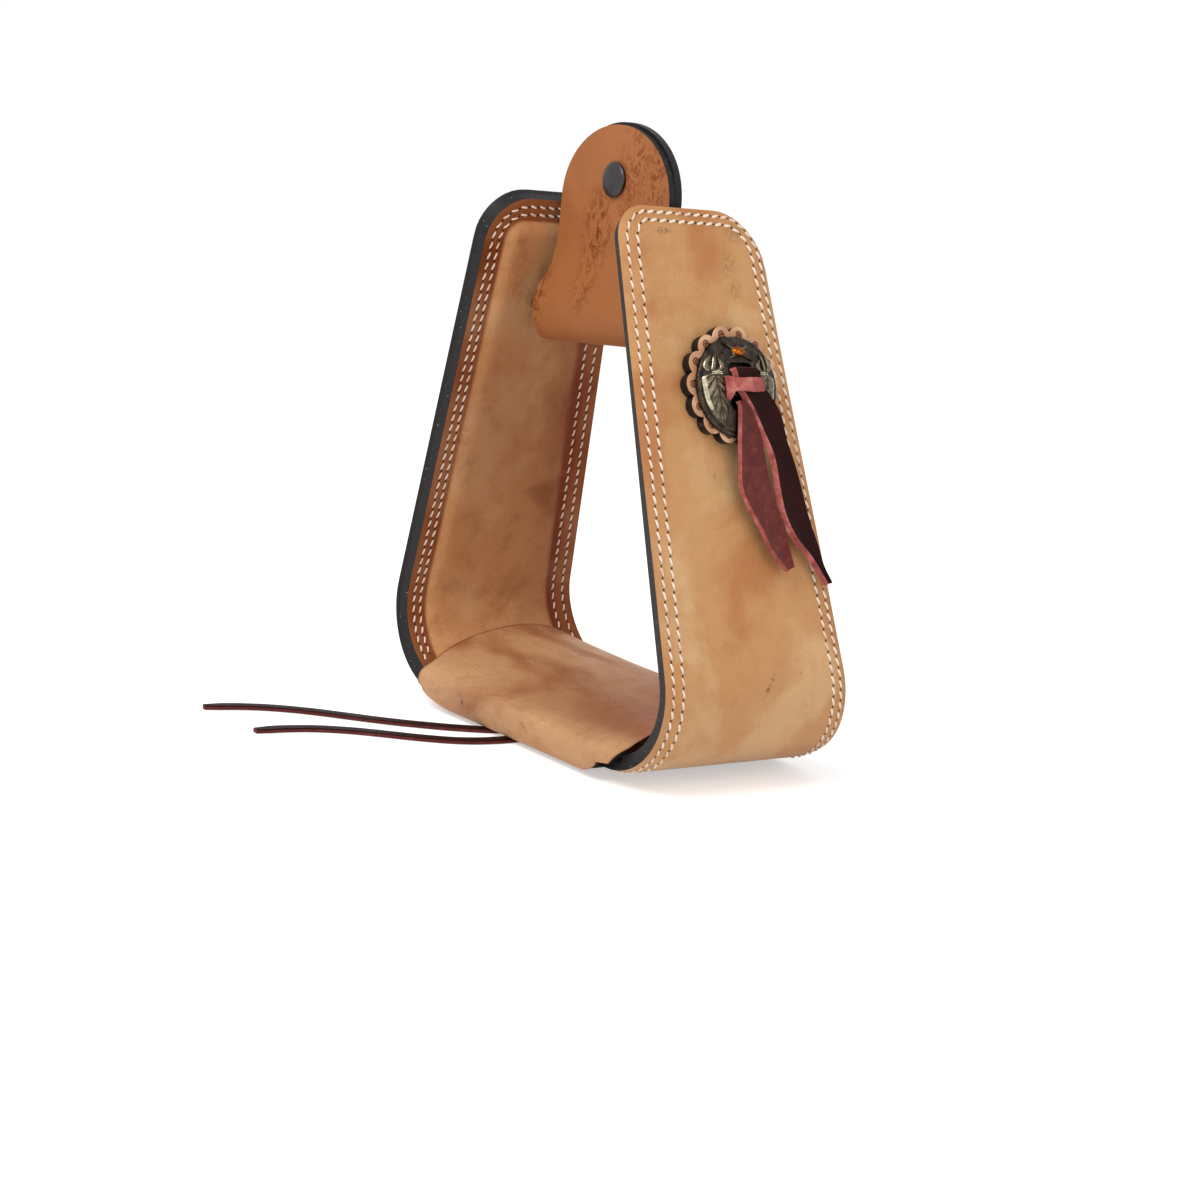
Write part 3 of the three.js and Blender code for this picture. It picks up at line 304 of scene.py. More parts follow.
def sleeve(start, rings, sides, closed=False):
    """Faces between rings of points that begin at start; closed joins the last to the first."""
    faces = []
    for k in range(rings if closed else rings - 1):
        low, high = start + k * sides, start + (k + 1) % rings * sides
        faces += [[low + j, low + (j + 1) % sides, high + (j + 1) % sides, high + j]
                  for j in range(sides)]
    return faces


def lathe(profile, sides, to_point, close=True):
    """Points and faces of a turned body; profile is (radius, height) from end to end."""
    points, faces, rings = [], [], []
    for radius, height in profile:
        first = len(points)
        points += [to_point(radius * c, radius * s, height)
                   for c, s in circle(sides if radius else 1)]
        rings.append([first + k if radius else first for k in range(sides)])
    for low, high in list(zip(rings, rings[1:])) + ([(rings[-1], rings[0])] if close else []):
        for k in range(sides):
            n = (k + 1) % sides
            face = list(dict.fromkeys((low[k], low[n], high[n], high[k])))
            if len(face) > 2:
                faces.append(face)
    return points, faces


# ---------------------------------------------------------------- the bow's form


def bow_point(along, offset):
    """Place in X and Z at a signed length along the bow's outer face, an offset inward."""
    a = abs(along)
    if a <= HALF_FLAT:
        return along, offset
    angle = min((a - HALF_FLAT) / BEND_RADIUS, BEND_ANGLE)
    radius = BEND_RADIUS - offset
    leg = max(a - HALF_FLAT - BEND_LENGTH, 0)
    x = HALF_FLAT + radius * math.sin(angle) - leg * math.sin(LEAN)
    return math.copysign(x, along), BEND_RADIUS - radius * math.cos(angle) + leg * math.cos(LEAN)


def bow_outward(along):
    angle = min(max(abs(along) - HALF_FLAT, 0) / BEND_RADIUS, BEND_ANGLE)
    return Vector((math.copysign(math.sin(angle), along), 0, -math.cos(angle)))


def straight_edges(along):
    share = bow_point(abs(along), 0)[1] / BOW_HEIGHT
    return lerp(TREAD_FRONT, NECK_FRONT, share), lerp(TREAD_BACK, NECK_BACK, share)


def corner_draw(from_end, radius):
    reach = max(radius - from_end, 0)
    return radius - math.sqrt(radius * radius - reach * reach)


def front_corner(along):
    return INNER_CORNER if along < 0 else OUTER_CORNER


def edges(along, inset=0):
    front, back = straight_edges(along)
    from_end = max(BOW_END - inset - abs(along), 0)
    return (front + inset + corner_draw(from_end, front_corner(along) - inset),
            back - inset - corner_draw(from_end, BACK_CORNER - inset))


def from_edge(along, y):
    """Distance of a point from the bow's rounded outline."""
    front, back = straight_edges(along)
    radius = front_corner(along) if y - front < back - y else BACK_CORNER
    side, end = min(y - front, back - y), BOW_END - abs(along)
    if side < radius and end < radius:
        return max(radius - math.hypot(radius - side, radius - end), 0)
    return max(min(side, end), 0)


def panel_inside(along, y):
    """Distance of a point inside the line where the raised panel begins."""
    front, back = straight_edges(along)
    side, end = min(y - front, back - y - BACK_WIDER), BOW_END - abs(along)
    reach = SEAM_MARGIN + PANEL_CORNER
    inside = min(side, end)
    if side < reach and end < reach:
        inside = reach - math.hypot(reach - side, reach - end)
    return inside - SEAM_MARGIN


def panel_share(along, y):
    """0 in the sewn border, 1 on the panel: steep at its foot, then gently rounded."""
    rise = min(max(panel_inside(along, y) / PANEL_SLOPE, 0), 1)
    return 1 - (1 - rise) ** 2.2


def liner_top(along, y):
    margin = lerp(MARGIN_TOP, LEG_MARGIN_TOP, smooth((abs(along) - 58) / 16))
    return lerp(margin, PANEL_TOP, panel_share(along, y))


def bow_stations(from_end, inset=0):
    """Lengths along the bow at which its leathers have a row of points."""
    half = [k * 7.5 for k in range(9)]
    half += [HALF_FLAT + BEND_LENGTH * k / 34 for k in range(1, 35)]
    corners = [BACK_CORNER * (1 - math.sin(math.pi / 2 * k / 9)) for k in range(9)]
    ends = sorted(set(from_end) | set(corners), reverse=True)
    start = half[-1]
    steps = int((BOW_END - max(ends) - start) // 4)
    half += [lerp(start, BOW_END - inset - max(ends), k / steps) for k in range(1, steps)]
    for distance in ends:
        if BOW_END - inset - distance > half[-1] + 0.25:
            half.append(BOW_END - inset - distance)
    half[-1] = BOW_END - inset
    return [-a for a in reversed(half[1:])] + half


def bow_grid(insets, middle, height, rubbed=None, inset=0):
    """Grid of points over the bow; height(along, y) is the offset inward, in mm.

    With rubbed(along, y) it also gives a grid of the shares of the rubbed colour; on the
    liner these are painted shade and light as well. The whole outline is drawn in by the inset.
    """
    grid, shares = [], []
    for along in bow_stations(insets, inset):
        front, back = edges(along, inset)
        room = min(1, (back - front) / 2 / (insets[-1] * 1.06))
        across = [front + d * room for d in insets]
        across += [lerp(across[-1], back - insets[-1] * room, (k + 1) / (middle + 1))
                   for k in range(middle)]
        across += [back - d * room for d in reversed(insets)]
        places = [(bow_point(along, height(along, y)), y) for y in across]
        grid.append([to_row(x, y, z) for (x, z), y in places])
        if rubbed:
            shares.append([rubbed(along, y) for y in across])
    return (np.array(grid), np.array(shares)) if rubbed else np.array(grid)


def row_path(face_height, side_inset, end_inset, back_inset):
    """Closed line of a stitch row: places, each with its length along the bow."""
    flat, insets, step = [], (side_inset, back_inset), 1.2

    def run(a, b, place):
        count = max(2, int(abs(b - a) / step))
        flat.extend(place(lerp(a, b, k / count)) for k in range(count))

    def side_line(a, b, which):
        inset = side_inset if which == 0 else -back_inset
        run(a, b, lambda at: (at, straight_edges(at)[which] + inset))

    def middle_of(radius, which):
        return straight_edges(BOW_END - radius)[which] + (radius if which == 0 else -radius)

    def corner(side, radius, which, opening):
        turn = -1 if which == 0 else 1
        for k in range(10):
            a = math.pi / 2 * (k / 10 if opening else 1 - k / 10)
            flat.append((side * (BOW_END - radius + (radius - end_inset) * math.sin(a)),
                         middle_of(radius, which) + turn * (radius - insets[which]) * math.cos(a)))

    def end_line(side, first, last):
        run(middle_of(*first), middle_of(*last), lambda y: (side * (BOW_END - end_inset), y))

    outer, inner, back = (OUTER_CORNER, 0), (INNER_CORNER, 0), (BACK_CORNER, 1)
    side_line(INNER_CORNER - BOW_END, BOW_END - OUTER_CORNER, 0)
    corner(1, *outer, True)
    end_line(1, outer, back)
    corner(1, *back, False)
    side_line(BOW_END - BACK_CORNER, BACK_CORNER - BOW_END, 1)
    corner(-1, *back, True)
    end_line(-1, back, inner)
    corner(-1, *inner, False)
    places = [(bow_point(along, face_height(along, y)), y, along) for along, y in flat]
    return [(Vector((x, y, z)), along) for (x, z), y, along in places]


def stitch_spots(path, pitch):
    """Evenly spaced places round a closed path: middle, direction and length along."""
    lengths = [0.0]
    closed = path + [path[0]]
    for (a, _), (b, _) in zip(closed, closed[1:]):
        lengths.append(lengths[-1] + (b - a).length)
    count = 2 * round(lengths[-1] / pitch)
    spots, i = [], 0
    for k in range(count):
        at = lengths[-1] * k / count
        while lengths[i + 1] < at:
            i += 1
        (a, s), (b, t) = closed[i], closed[i + 1]
        share = (at - lengths[i]) / max(lengths[i + 1] - lengths[i], 1e-9)
        spots.append((a.lerp(b, share), (b - a).normalized(), s if share < 0.5 else t))
    return spots[0::2], spots[1::2]


# ---------------------------------------------------------------- the tread's form


def crown_height(x, y):
    front, back = TREAD_FRONT - WRAP_OUT, TREAD_BACK + WRAP_OUT
    peak = lerp(front, back, 0.6)
    away = (peak - y) / (peak - front) if y < peak else (y - peak) / (back - peak)
    dome = 1 - min(max(away, 0), 1) ** (1.6 if y < peak else 2.2)
    return MARGIN_TOP + CROWN_LIP + dome * (
        CROWN_RISE + CROWN_END_RISE * (abs(x) / (HALF_FLAT + BEND_RADIUS)) ** 2)


def crown_reach(y, drop, side=1):
    """Half width of the crown at a depth under its face, where it meets the liner.

    At its front corner the +X end is cut straight across, clear of the bow.
    """
    reach, y = HALF_FLAT, min(max(y, TREAD_FRONT), TREAD_BACK)
    near = min(y - TREAD_FRONT, TREAD_BACK - y)
    radius = BEND_RADIUS - PANEL_TOP - 0.3
    for _ in range(6):
        rise = (BEND_RADIUS - crown_height(reach, y) + drop) / radius
        reach = HALF_FLAT + radius * math.sin(math.acos(min(max(rise, 0), 1)))
    if drop:
        outer = crown_reach(y, 0, side)
        return min(max(reach, outer - lerp(1, 5.5, smooth(near / 7))), outer - 0.8)
    if side > 0 and y < 0:
        cut = 69.8 - 0.165 * (y - TREAD_FRONT) + 1.3 * max(y - TREAD_FRONT - 16, 0)
        return cut if near < 4 else min(reach, cut)
    return max(reach, 70 + 0.31 * near) if near < 7 else reach


def wrap_line():
    """Stations round the tread, from the seam underneath forward, over and back."""
    quarter = math.pi / 2

    def half(side, corner):
        return ([("under", lerp(TREAD_MIDDLE + side * SEAM_HALF, corner, k / 7), 0, 0)
                 for k in range(8)]
                + [("heel", 0, quarter * k / 8, side) for k in range(1, 9)]
                + [("nose", 0, quarter * k / 9, side) for k in range(9)])

    low, high = TREAD_FRONT - WRAP_OUT + NOSE_RADIUS, TREAD_BACK + WRAP_OUT - NOSE_RADIUS
    crown = [("crown", lerp(low, high, k / 36), 0, 0) for k in range(37)]
    return half(-1, TREAD_FRONT) + crown + half(1, TREAD_BACK)[::-1]


def wrap_place(station, x, drop):
    """Place in Y and Z on the wrap's face, or on its inside that far below the face."""
    kind, y, angle, side = station
    corner = TREAD_FRONT if side < 0 else TREAD_BACK
    under = WRAP_OUT - drop
    if kind == "under":
        return y, -under
    if kind == "heel":
        return corner + side * under * math.sin(angle), -under * math.cos(angle)
    if kind == "nose":
        middle, reach = corner + side * (WRAP_OUT - NOSE_RADIUS), NOSE_RADIUS - drop
        height = crown_height(x, middle) - NOSE_RADIUS
        return middle + side * reach * math.cos(angle), height + reach * math.sin(angle)
    return y, crown_height(x, y) - drop


def wrap_half_width(station, drop, end):
    kind, y, angle, side = station
    if kind == "under":
        return WRAP_UNDER
    if kind == "crown":
        return crown_reach(y, drop, end)
    # Half widths of the wall's foot, of the nose's foot and of the crown's first line
    foot, nose, top = (57, 64.5, 69.8) if end > 0 and side < 0 else (66, 69.3, 70)
    width = lerp(nose, top, math.sin(angle))
    if kind == "heel":
        width = lerp(WRAP_UNDER, foot, smooth(angle / (math.pi / 2)))
    return width - (1 if drop else 0)


def soften(grid, line, rounds):
    """Rounds a wrap's section over its two noses, leaving the rest where it is."""
    keep = np.array([min(abs(i - n) for n in line) for i in range(len(grid))])
    share = np.clip(1 - (keep - 7) / 5, 0, 1)[:, None, None]
    for _ in range(rounds):
        mean = grid.copy()
        mean[1:-1] = (grid[:-2] + grid[2:]) / 2
        grid[..., 1:] += (share * 0.5 * (mean - grid))[..., 1:]


# ---------------------------------------------------------------- materials


def node(tree, kind, sockets=None, **settings):
    """Adds one node. sockets maps an input to a value or to the output that feeds it."""
    made = tree.nodes.new("ShaderNode" + kind)
    stops = settings.pop("stops", None)
    for key, value in settings.items():
        setattr(made, key, value)
    if stops:
        ramp = made.color_ramp.elements
        while len(ramp) < len(stops):
            ramp.new(0.5)
        for element, (place, tint) in zip(ramp, stops):
            element.position = place
            element.color = (*tint, 1)
    for key, value in (sockets or {}).items():
        if isinstance(value, bpy.types.NodeSocket):
            tree.links.new(value, made.inputs[key])
        else:
            made.inputs[key].default_value = value
    return made


def per_mm(millimetres):
    """Texture scale for a pattern of that real size, as coordinates are in metres."""
    return 1000 / millimetres


def new_material(name, **sockets):
    """A material whose constant values stand on the shader's own sockets."""
    material = bpy.data.materials.new(name)
    material.use_nodes = True
    tree = material.node_tree
    shader = tree.nodes["Principled BSDF"]
    for key, value in sockets.items():
        socket = shader.inputs[key.replace("_", " ")]
        socket.default_value = (*value, 1) if hasattr(value, "__len__") else value
    return material, tree, shader


def feed(shader, **outputs):
    """Links outputs to the shader's inputs of those names."""
    for key, output in outputs.items():
        shader.id_data.links.new(output, shader.inputs[key.replace("_", " ")])


def overlay(material, share, tint):
    """Lays a tint over the material's own base colour."""
    tree = material.node_tree
    shader = tree.nodes["Principled BSDF"]
    under = shader.inputs["Base Color"].links[0].from_socket
    feed(shader, Base_Color=node(tree, "MixRGB", {"Fac": share, "Color1": under,
                                                  "Color2": (*tint, 1)}).outputs[0])


def saddle_leather(name, base, pale, shade, cloud=48, stain=0.35, pore=0.9,
                   stretch=(1, 1, 1), rubbed=None, creased=0.0, gloss=0.3):
    """Vegetable tanned cowhide, oiled and slicked: soft clouds of lighter and darker
    tan, fine pores about a millimetre apart, a few scratches and a low waxy shine."""
    material, tree, shader = new_material(name, IOR=1.5, Specular_IOR_Level=gloss)
    where = node(tree, "TexCoord").outputs["Object"]
    laid = node(tree, "Mapping", {"Vector": where, "Scale": stretch}).outputs["Vector"]
    clouds = node(tree, "TexNoise", {"Vector": laid, "Scale": per_mm(cloud), "Detail": 4.0,
                                     "Roughness": 0.5, "Distortion": 0.4}).outputs["Fac"]
    tint = node(tree, "ValToRGB", {"Fac": clouds},
                stops=[(0.36, shade), (0.47, base), (0.53, base), (0.64, pale)]).outputs["Color"]
    flecks = node(tree, "TexNoise", {"Vector": where, "Scale": per_mm(9), "Detail": 5.0,
                                     "Roughness": 0.62}).outputs["Fac"]
    worn = node(tree, "MapRange", {"Value": flecks, "From Min": 0.5, "From Max": 0.74,
                                   "To Min": 0.0, "To Max": stain}).outputs["Result"]
    tint = node(tree, "MixRGB", {"Fac": worn, "Color1": tint, "Color2": (*shade, 1)}).outputs[0]
    # Scratches: rare bits of one side of a long crooked line
    line = node(tree, "TexNoise", {"Vector": laid, "Scale": per_mm(30), "Detail": 2.0,
                                   "Distortion": 2.5}).outputs["Fac"]
    over = node(tree, "Math", {0: line, 1: 0.5}, operation="SUBTRACT").outputs[0]
    thin = node(tree, "MapRange", {"Value": over, "From Min": 0.0, "From Max": 0.0035,
                                   "To Min": 1.0, "To Max": 0.0}).outputs["Result"]
    above = node(tree, "Math", {0: line, 1: 0.5}, operation="GREATER_THAN").outputs[0]
    mark = node(tree, "Math", {0: thin, 1: above}, operation="MULTIPLY").outputs[0]
    bits = node(tree, "TexNoise", {"Vector": where, "Scale": per_mm(22),
                                   "Detail": 1.0}).outputs["Fac"]
    rare = node(tree, "MapRange", {"Value": bits, "From Min": 0.6, "From Max": 0.66,
                                   "To Min": 0.0, "To Max": 0.5}).outputs["Result"]
    mark = node(tree, "Math", {0: mark, 1: rare}, operation="MULTIPLY").outputs[0]
    tint = node(tree, "MixRGB", {"Fac": mark, "Color1": tint,
                                 "Color2": (*scaled(shade, 0.35), 1)}).outputs[0]
    # The rubbed colour in the share of the burnish attribute: rubbed leather, and on the liner and
    # the tread also painted shade and light
    if rubbed:
        share = node(tree, "Attribute", attribute_name="burnish").outputs["Fac"]
        uneven = node(tree, "MapRange", {"Value": clouds, "From Min": 0.35, "From Max": 0.65,
                                         "To Min": 1.2, "To Max": 0.84}).outputs["Result"]
        share = node(tree, "Math", {0: share, 1: uneven}, operation="MULTIPLY",
                     use_clamp=True).outputs[0]
        tint = node(tree, "MixRGB", {"Fac": share, "Color1": tint,
                                     "Color2": (*linear(rubbed), 1)}).outputs[0]
    pores = node(tree, "TexVoronoi", {"Vector": where, "Scale": per_mm(pore)}).outputs["Distance"]
    fine = node(tree, "TexNoise", {"Vector": where, "Scale": per_mm(0.8), "Detail": 3.0,
                                   "Roughness": 0.6}).outputs["Fac"]
    grain = node(tree, "MapRange", {"Value": fine, "From Min": 0.3, "From Max": 0.7,
                                    "To Min": 0.94, "To Max": 1.05}).outputs["Result"]
    tint = node(tree, "MixRGB", {"Fac": 1.0, "Color1": tint, "Color2": grain},
                blend_type="MULTIPLY").outputs[0]
    shine = node(tree, "MapRange", {"Value": flecks, "From Min": 0.3, "From Max": 0.7,
                                    "To Min": 0.46, "To Max": 0.62}).outputs["Result"]
    relief = node(tree, "Math", {0: pores, 1: fine}, operation="ADD").outputs[0]
    normal = node(tree, "Bump", {"Strength": 0.22, "Distance": 0.0003,
                                 "Height": relief}).outputs["Normal"]
    normal = node(tree, "Bump", {"Strength": 0.35, "Distance": 0.0012, "Height": flecks,
                                 "Normal": normal}).outputs["Normal"]
    if creased:
        # Draw marks: crooked soft wrinkles some 10 mm apart, where the hide was stretched
        folds = node(tree, "TexNoise", {"Vector": laid, "Scale": per_mm(20), "Detail": 3.0,
                                        "Roughness": 0.55, "Distortion": 1.6}).outputs["Fac"]
        off = node(tree, "Math", {0: folds, 1: 0.5}, operation="SUBTRACT").outputs[0]
        off = node(tree, "Math", {0: off}, operation="ABSOLUTE").outputs[0]
        ridge = node(tree, "MapRange", {"Value": off, "From Min": 0.0, "From Max": 0.035,
                                        "To Min": 1.0, "To Max": 0.0}).outputs["Result"]
        normal = node(tree, "Bump", {"Strength": 0.35 * creased, "Distance": 0.0005,
                                     "Height": ridge, "Normal": normal}).outputs["Normal"]
    feed(shader, Base_Color=tint, Roughness=shine, Normal=normal)
    return material


def near_places(tree, where, places, core):
    """Share at the nearest of some places: (middle, half sizes, turn about the surface's
    own normal, strength) in metres, full to that core of the half sizes."""
    mask = 0.0
    for middle, halves, turn, much in places:
        here = node(tree, "Mapping", {"Vector": where, "Location": middle, "Rotation": turn,
                                      "Scale": halves}, vector_type="TEXTURE").outputs["Vector"]
        away = node(tree, "VectorMath", {0: here}, operation="LENGTH").outputs["Value"]
        near = node(tree, "MapRange", {"Value": away, "From Min": core, "From Max": core + 1,
                                       "To Min": much, "To Max": 0.0}).outputs["Result"]
        mask = node(tree, "Math", {0: mask, 1: near}, operation="MAXIMUM").outputs[0]
    return mask


def handling_marks(material, places, hex_colour):
    """Small scuffs and scores at known places, broken up by flecks of 1.5 mm."""
    tree = material.node_tree
    where = node(tree, "TexCoord").outputs["Object"]
    speckle = node(tree, "TexNoise", {"Vector": where, "Scale": per_mm(1.5), "Detail": 4.0,
                                      "Roughness": 0.7}).outputs["Fac"]
    broken = node(tree, "MapRange", {"Value": speckle, "From Min": 0.42, "From Max": 0.56,
                                     "To Min": 0.0, "To Max": 0.75}).outputs["Result"]
    mask = node(tree, "Math", {0: near_places(tree, where, places, 0.4), 1: broken},
                operation="MULTIPLY").outputs[0]
    overlay(material, mask, linear(hex_colour))
    return material


def grained(name, millimetres, stops, detail=2.0, fibre=0.5, swirl=0.0, stretch=None,
            shine=None, relief=None, height=None, **sockets):
    """A material whose tint and gloss follow one pattern of that real size.

    stops are its tints, shine holds two values of the pattern and the roughness at each,
    relief is a strength and a depth, and height(tree, where) makes another pattern for it.
    """
    material, tree, shader = new_material(name, **sockets)
    where = node(tree, "TexCoord").outputs["Object"]
    if stretch:
        where = node(tree, "Mapping", {"Vector": where, "Scale": stretch}).outputs["Vector"]
    grain = node(tree, "TexNoise", {"Vector": where, "Scale": per_mm(millimetres),
                                    "Detail": detail, "Roughness": fibre,
                                    "Distortion": swirl}).outputs["Fac"]
    feed(shader, Base_Color=node(tree, "ValToRGB", {"Fac": grain}, stops=stops).outputs["Color"])
    if shine:
        low, high, rough_low, rough_high = shine
        rough = node(tree, "MapRange", {"Value": grain, "From Min": low, "From Max": high,
                                        "To Min": rough_low, "To Max": rough_high})
        feed(shader, Roughness=rough.outputs["Result"])
    if relief:
        raised = node(tree, "Bump", {"Strength": relief[0], "Distance": relief[1],
                                     "Height": height(tree, where) if height else grain})
        feed(shader, Normal=raised.outputs["Normal"])
    return material


def suede(name, base, pale, dark, nap):
    """The flesh side of a hide, split and left rough: matt, felted, blotched where the
    fibres lie different ways, with a faint velvet edge."""
    def fibres(tree, where):
        return node(tree, "TexNoise", {"Vector": where, "Scale": per_mm(1.1), "Detail": 4.0,
                                       "Roughness": 0.7}).outputs["Fac"]

    return grained(name, 5, [(0.32, dark), (0.5, base), (0.68, pale)], 6.0, 0.68,
                   relief=(0.6, 0.0006), height=fibres, Roughness=0.92, Sheen_Weight=nap,
                   Sheen_Roughness=0.5)


def edge_dye(name):
    """Cut leather edges, dyed black and slicked with wax: near black, faintly streaked
    along the layers, with pale specks where the dye missed the fibres."""
    black = tint_of("edge")
    stops = [(0.35, scaled(black, 0.7)), (0.6, black), (0.67, black), (0.7, linear("#7A7471"))]
    return grained(name, 1.6, stops, 3.0, 0.7, shine=(0.3, 0.7, 0.4, 0.62),
                   relief=(0.4, 0.0005), Specular_IOR_Level=0.25)


def latigo(name):
    """Latigo, alum tanned and stuffed with oil, dyed burgundy on its grain side: dark,
    close grained and softly shiny, paler where it has been bent."""
    def creases(tree, where):
        return node(tree, "TexVoronoi", {"Vector": where,
                                         "Scale": per_mm(0.9)}).outputs["Distance"]

    base = tint_of("latigo")
    return grained(name, 12, [(0.3, scaled(base, 0.6)), (0.55, base), (0.75, scaled(base, 1.9))],
                   5.0, 0.6, shine=(0.3, 0.7, 0.42, 0.6), relief=(0.3, 0.0003),
                   height=creases, Specular_IOR_Level=0.07)


def sewing_thread(name):
    """Waxed nylon thread, twisted: off-white with a low sheen, its twist drawn at 0.5 mm
    so that it shows, and greyed a little by wax."""
    def twist(tree, where):
        return node(tree, "TexWave", {"Vector": where, "Scale": per_mm(0.5) / 6.28,
                                      "Distortion": 1.0}).outputs["Fac"]

    base = tint_of("thread")
    return grained(name, 7, [(0.35, linear("#D9BBA0")), (0.5, base), (0.7, base)],
                   relief=(0.3, 0.0001), height=twist, Roughness=0.55, Sheen_Weight=0.15)


def dark_recess(name, hex_colour, rough=0.8):
    """Matt dark brown leather down in a hole or a tooled line: in an awl hole it is painted shade
    of the hole, in a tooled line burnt and waxed leather.
    """
    base = linear(hex_colour)
    return grained(name, 2, [(0.35, scaled(base, 0.6)), (0.65, base)], Roughness=rough)


def worn_metal(name, base, high, rough, grit=1.5, streak=None, depth=0.00015):
    """Plated or bare metal with handling marks: base colour in the hollows, brighter
    where it is rubbed, and a roughness that follows the same marks."""
    return grained(name, grit, [(0.35, linear(base)), (0.7, linear(high))], 5.0, 0.6,
                   stretch=streak, shine=(0.3, 0.7, rough + 0.1, rough - 0.05),
                   relief=(0.3, depth), Metallic=1.0)


def moulded_nylon(name):
    """Natural nylon, extruded and cut: cream, slightly waxy, with faint drawing lines."""
    return grained(name, 0.8, [(0.3, linear("#CFC8B8")), (0.7, linear("#DDD7CA"))],
                   stretch=(0.05, 1, 1), shine=(0, 1, 0.35, 0.5), IOR=1.53)


def pressed_felt(name):
    """Wool felt, pressed: matt grey-brown with short crossed fibres about 1 mm long."""
    base = tint_of("felt")
    return grained(name, 1, [(0.3, scaled(base, 0.6)), (0.7, base)], 6.0, 0.75, 1.5,
                   relief=(0.6, 0.0006), Roughness=0.95, Sheen_Weight=0.3)


def kept(make, name, *values):
    """The material of that name, made once."""
    return bpy.data.materials.get(name) or make(name, *values)


def tan_flesh():
    tint = tint_of("flesh")
    return kept(suede, "flesh side of tan leather", tint, scaled(tint, 1.2),
                scaled(tint, 0.65), 0.1)


def dyed_edge():
    return kept(edge_dye, "black edge dye on slicked leather")


def latigo_grain():
    return kept(latigo, "burgundy latigo leather")


def latigo_suede():
    return kept(suede, "flesh side of latigo leather", tint_of("latigo_flesh"),
                tint_of("latigo_pale"), linear("#431817"), 0.05)


def tie_suede():
    return kept(suede, "rose flesh side of latigo leather", tint_of("tie"),
                linear("#C67C70"), linear("#7C3330"), 0.05)


def cover_leather():
    """The cover's leather, with the scuffs on the outside of the +X leg: a score near
    its neck, brown smudges beside it, and a nick and a dot low down."""
    leather = saddle_leather("golden tan saddle leather", *tints_of("cover"),
                             rubbed="#A5683C")
    lean = (0, -LEAN, 0)
    places = (((0.0469, -0.0322, 0.2072), (0.002, 0.0036, 0.0012), lean, 1.0),
              ((0.0466, 0.003, 0.2084), (0.003, 0.0045, 0.004), lean, 0.55),
              ((0.0498, -0.0016, 0.1972), (0.003, 0.004, 0.006), lean, 0.45),
              ((0.0527, 0.0008, 0.1871), (0.003, 0.003, 0.004), lean, 0.5),
              ((0.0942, 0.0032, 0.0434), (0.003, 0.0011, 0.0052), (-0.5, -LEAN, 0), 1.0),
              ((0.0965, 0.0231, 0.0354), (0.003, 0.0007, 0.0007), lean, 1.6))
    return handling_marks(leather, places, "#6A4A30")


def scarred_leather():
    """Tab leather from near the belly: orange brown, with healed scars and veins that
    took the dye darker, gathered down its middle, about 2 mm wide each."""
    material = saddle_leather("scarred orange saddle leather", tint_of("tab"),
                              tint_of("tab_pale"), linear("#A2653A"), cloud=45, stain=0.4,
                              gloss=0.15)
    tree = material.node_tree
    where = node(tree, "TexCoord").outputs["Object"]
    laid = node(tree, "Mapping", {"Vector": where, "Scale": (1, 1, 0.6),
                                  "Rotation": (0, 0.35, 0)}).outputs["Vector"]
    veins = node(tree, "TexNoise", {"Vector": laid, "Scale": per_mm(6), "Detail": 3.0,
                                    "Roughness": 0.6, "Distortion": 2.0}).outputs["Fac"]
    beside = node(tree, "Math", {0: veins, 1: 0.5}, operation="SUBTRACT").outputs[0]
    beside = node(tree, "Math", {0: beside}, operation="ABSOLUTE").outputs[0]
    strong = node(tree, "MapRange", {"Value": beside, "From Min": 0.03, "From Max": 0.085,
                                     "To Min": 1.0, "To Max": 0.0}).outputs["Result"]
    bits = node(tree, "TexNoise", {"Vector": laid, "Scale": per_mm(3.2), "Detail": 2.0,
                                   "Distortion": 0.6}).outputs["Fac"]
    bits = node(tree, "MapRange", {"Value": bits, "From Min": 0.42, "From Max": 0.5,
                                   "To Min": 0.15, "To Max": 1.0}).outputs["Result"]
    # Weaker on the back ply
    depth = node(tree, "SeparateXYZ", {0: where}).outputs["Y"]
    facing = node(tree, "MapRange", {"Value": depth, "From Min": -0.018, "From Max": -0.016,
                                     "To Min": 1.0, "To Max": 0.35}).outputs["Result"]
    # Where the scars lie: a belt down the middle, the right shoulder and the left ear
    spots = ((-0.0085, 0.203, 0.008, 0.014, 1.0), (-0.009, 0.183, 0.006, 0.011, 0.7),
             (0.012, 0.223, 0.009, 0.022, 0.75), (0.026, 0.226, 0.006, 0.018, 0.8),
             (-0.036, 0.176, 0.004, 0.012, 0.9))
    places = [((x, 0, z), (wide, 1000, high), (0, 0, 0), much) for x, z, wide, high, much in spots]
    mask = near_places(tree, where, places, 0.5)
    for share in (strong, bits, facing):
        mask = node(tree, "Math", {0: mask, 1: share}, operation="MULTIPLY").outputs[0]
    overlay(material, mask, tint_of("tab_scar"))
    return material


# ---------------------------------------------------------------- sewing

# Sections of a stitch from end to end: its place, its share of the width and its lift
STITCH = ((-1, 0.3, -0.1), (-0.72, 0.85, 0.14), (-0.3, 1, 0.26), (0.3, 1, 0.26),
          (0.72, 0.85, 0.14), (1, 0.3, -0.1))


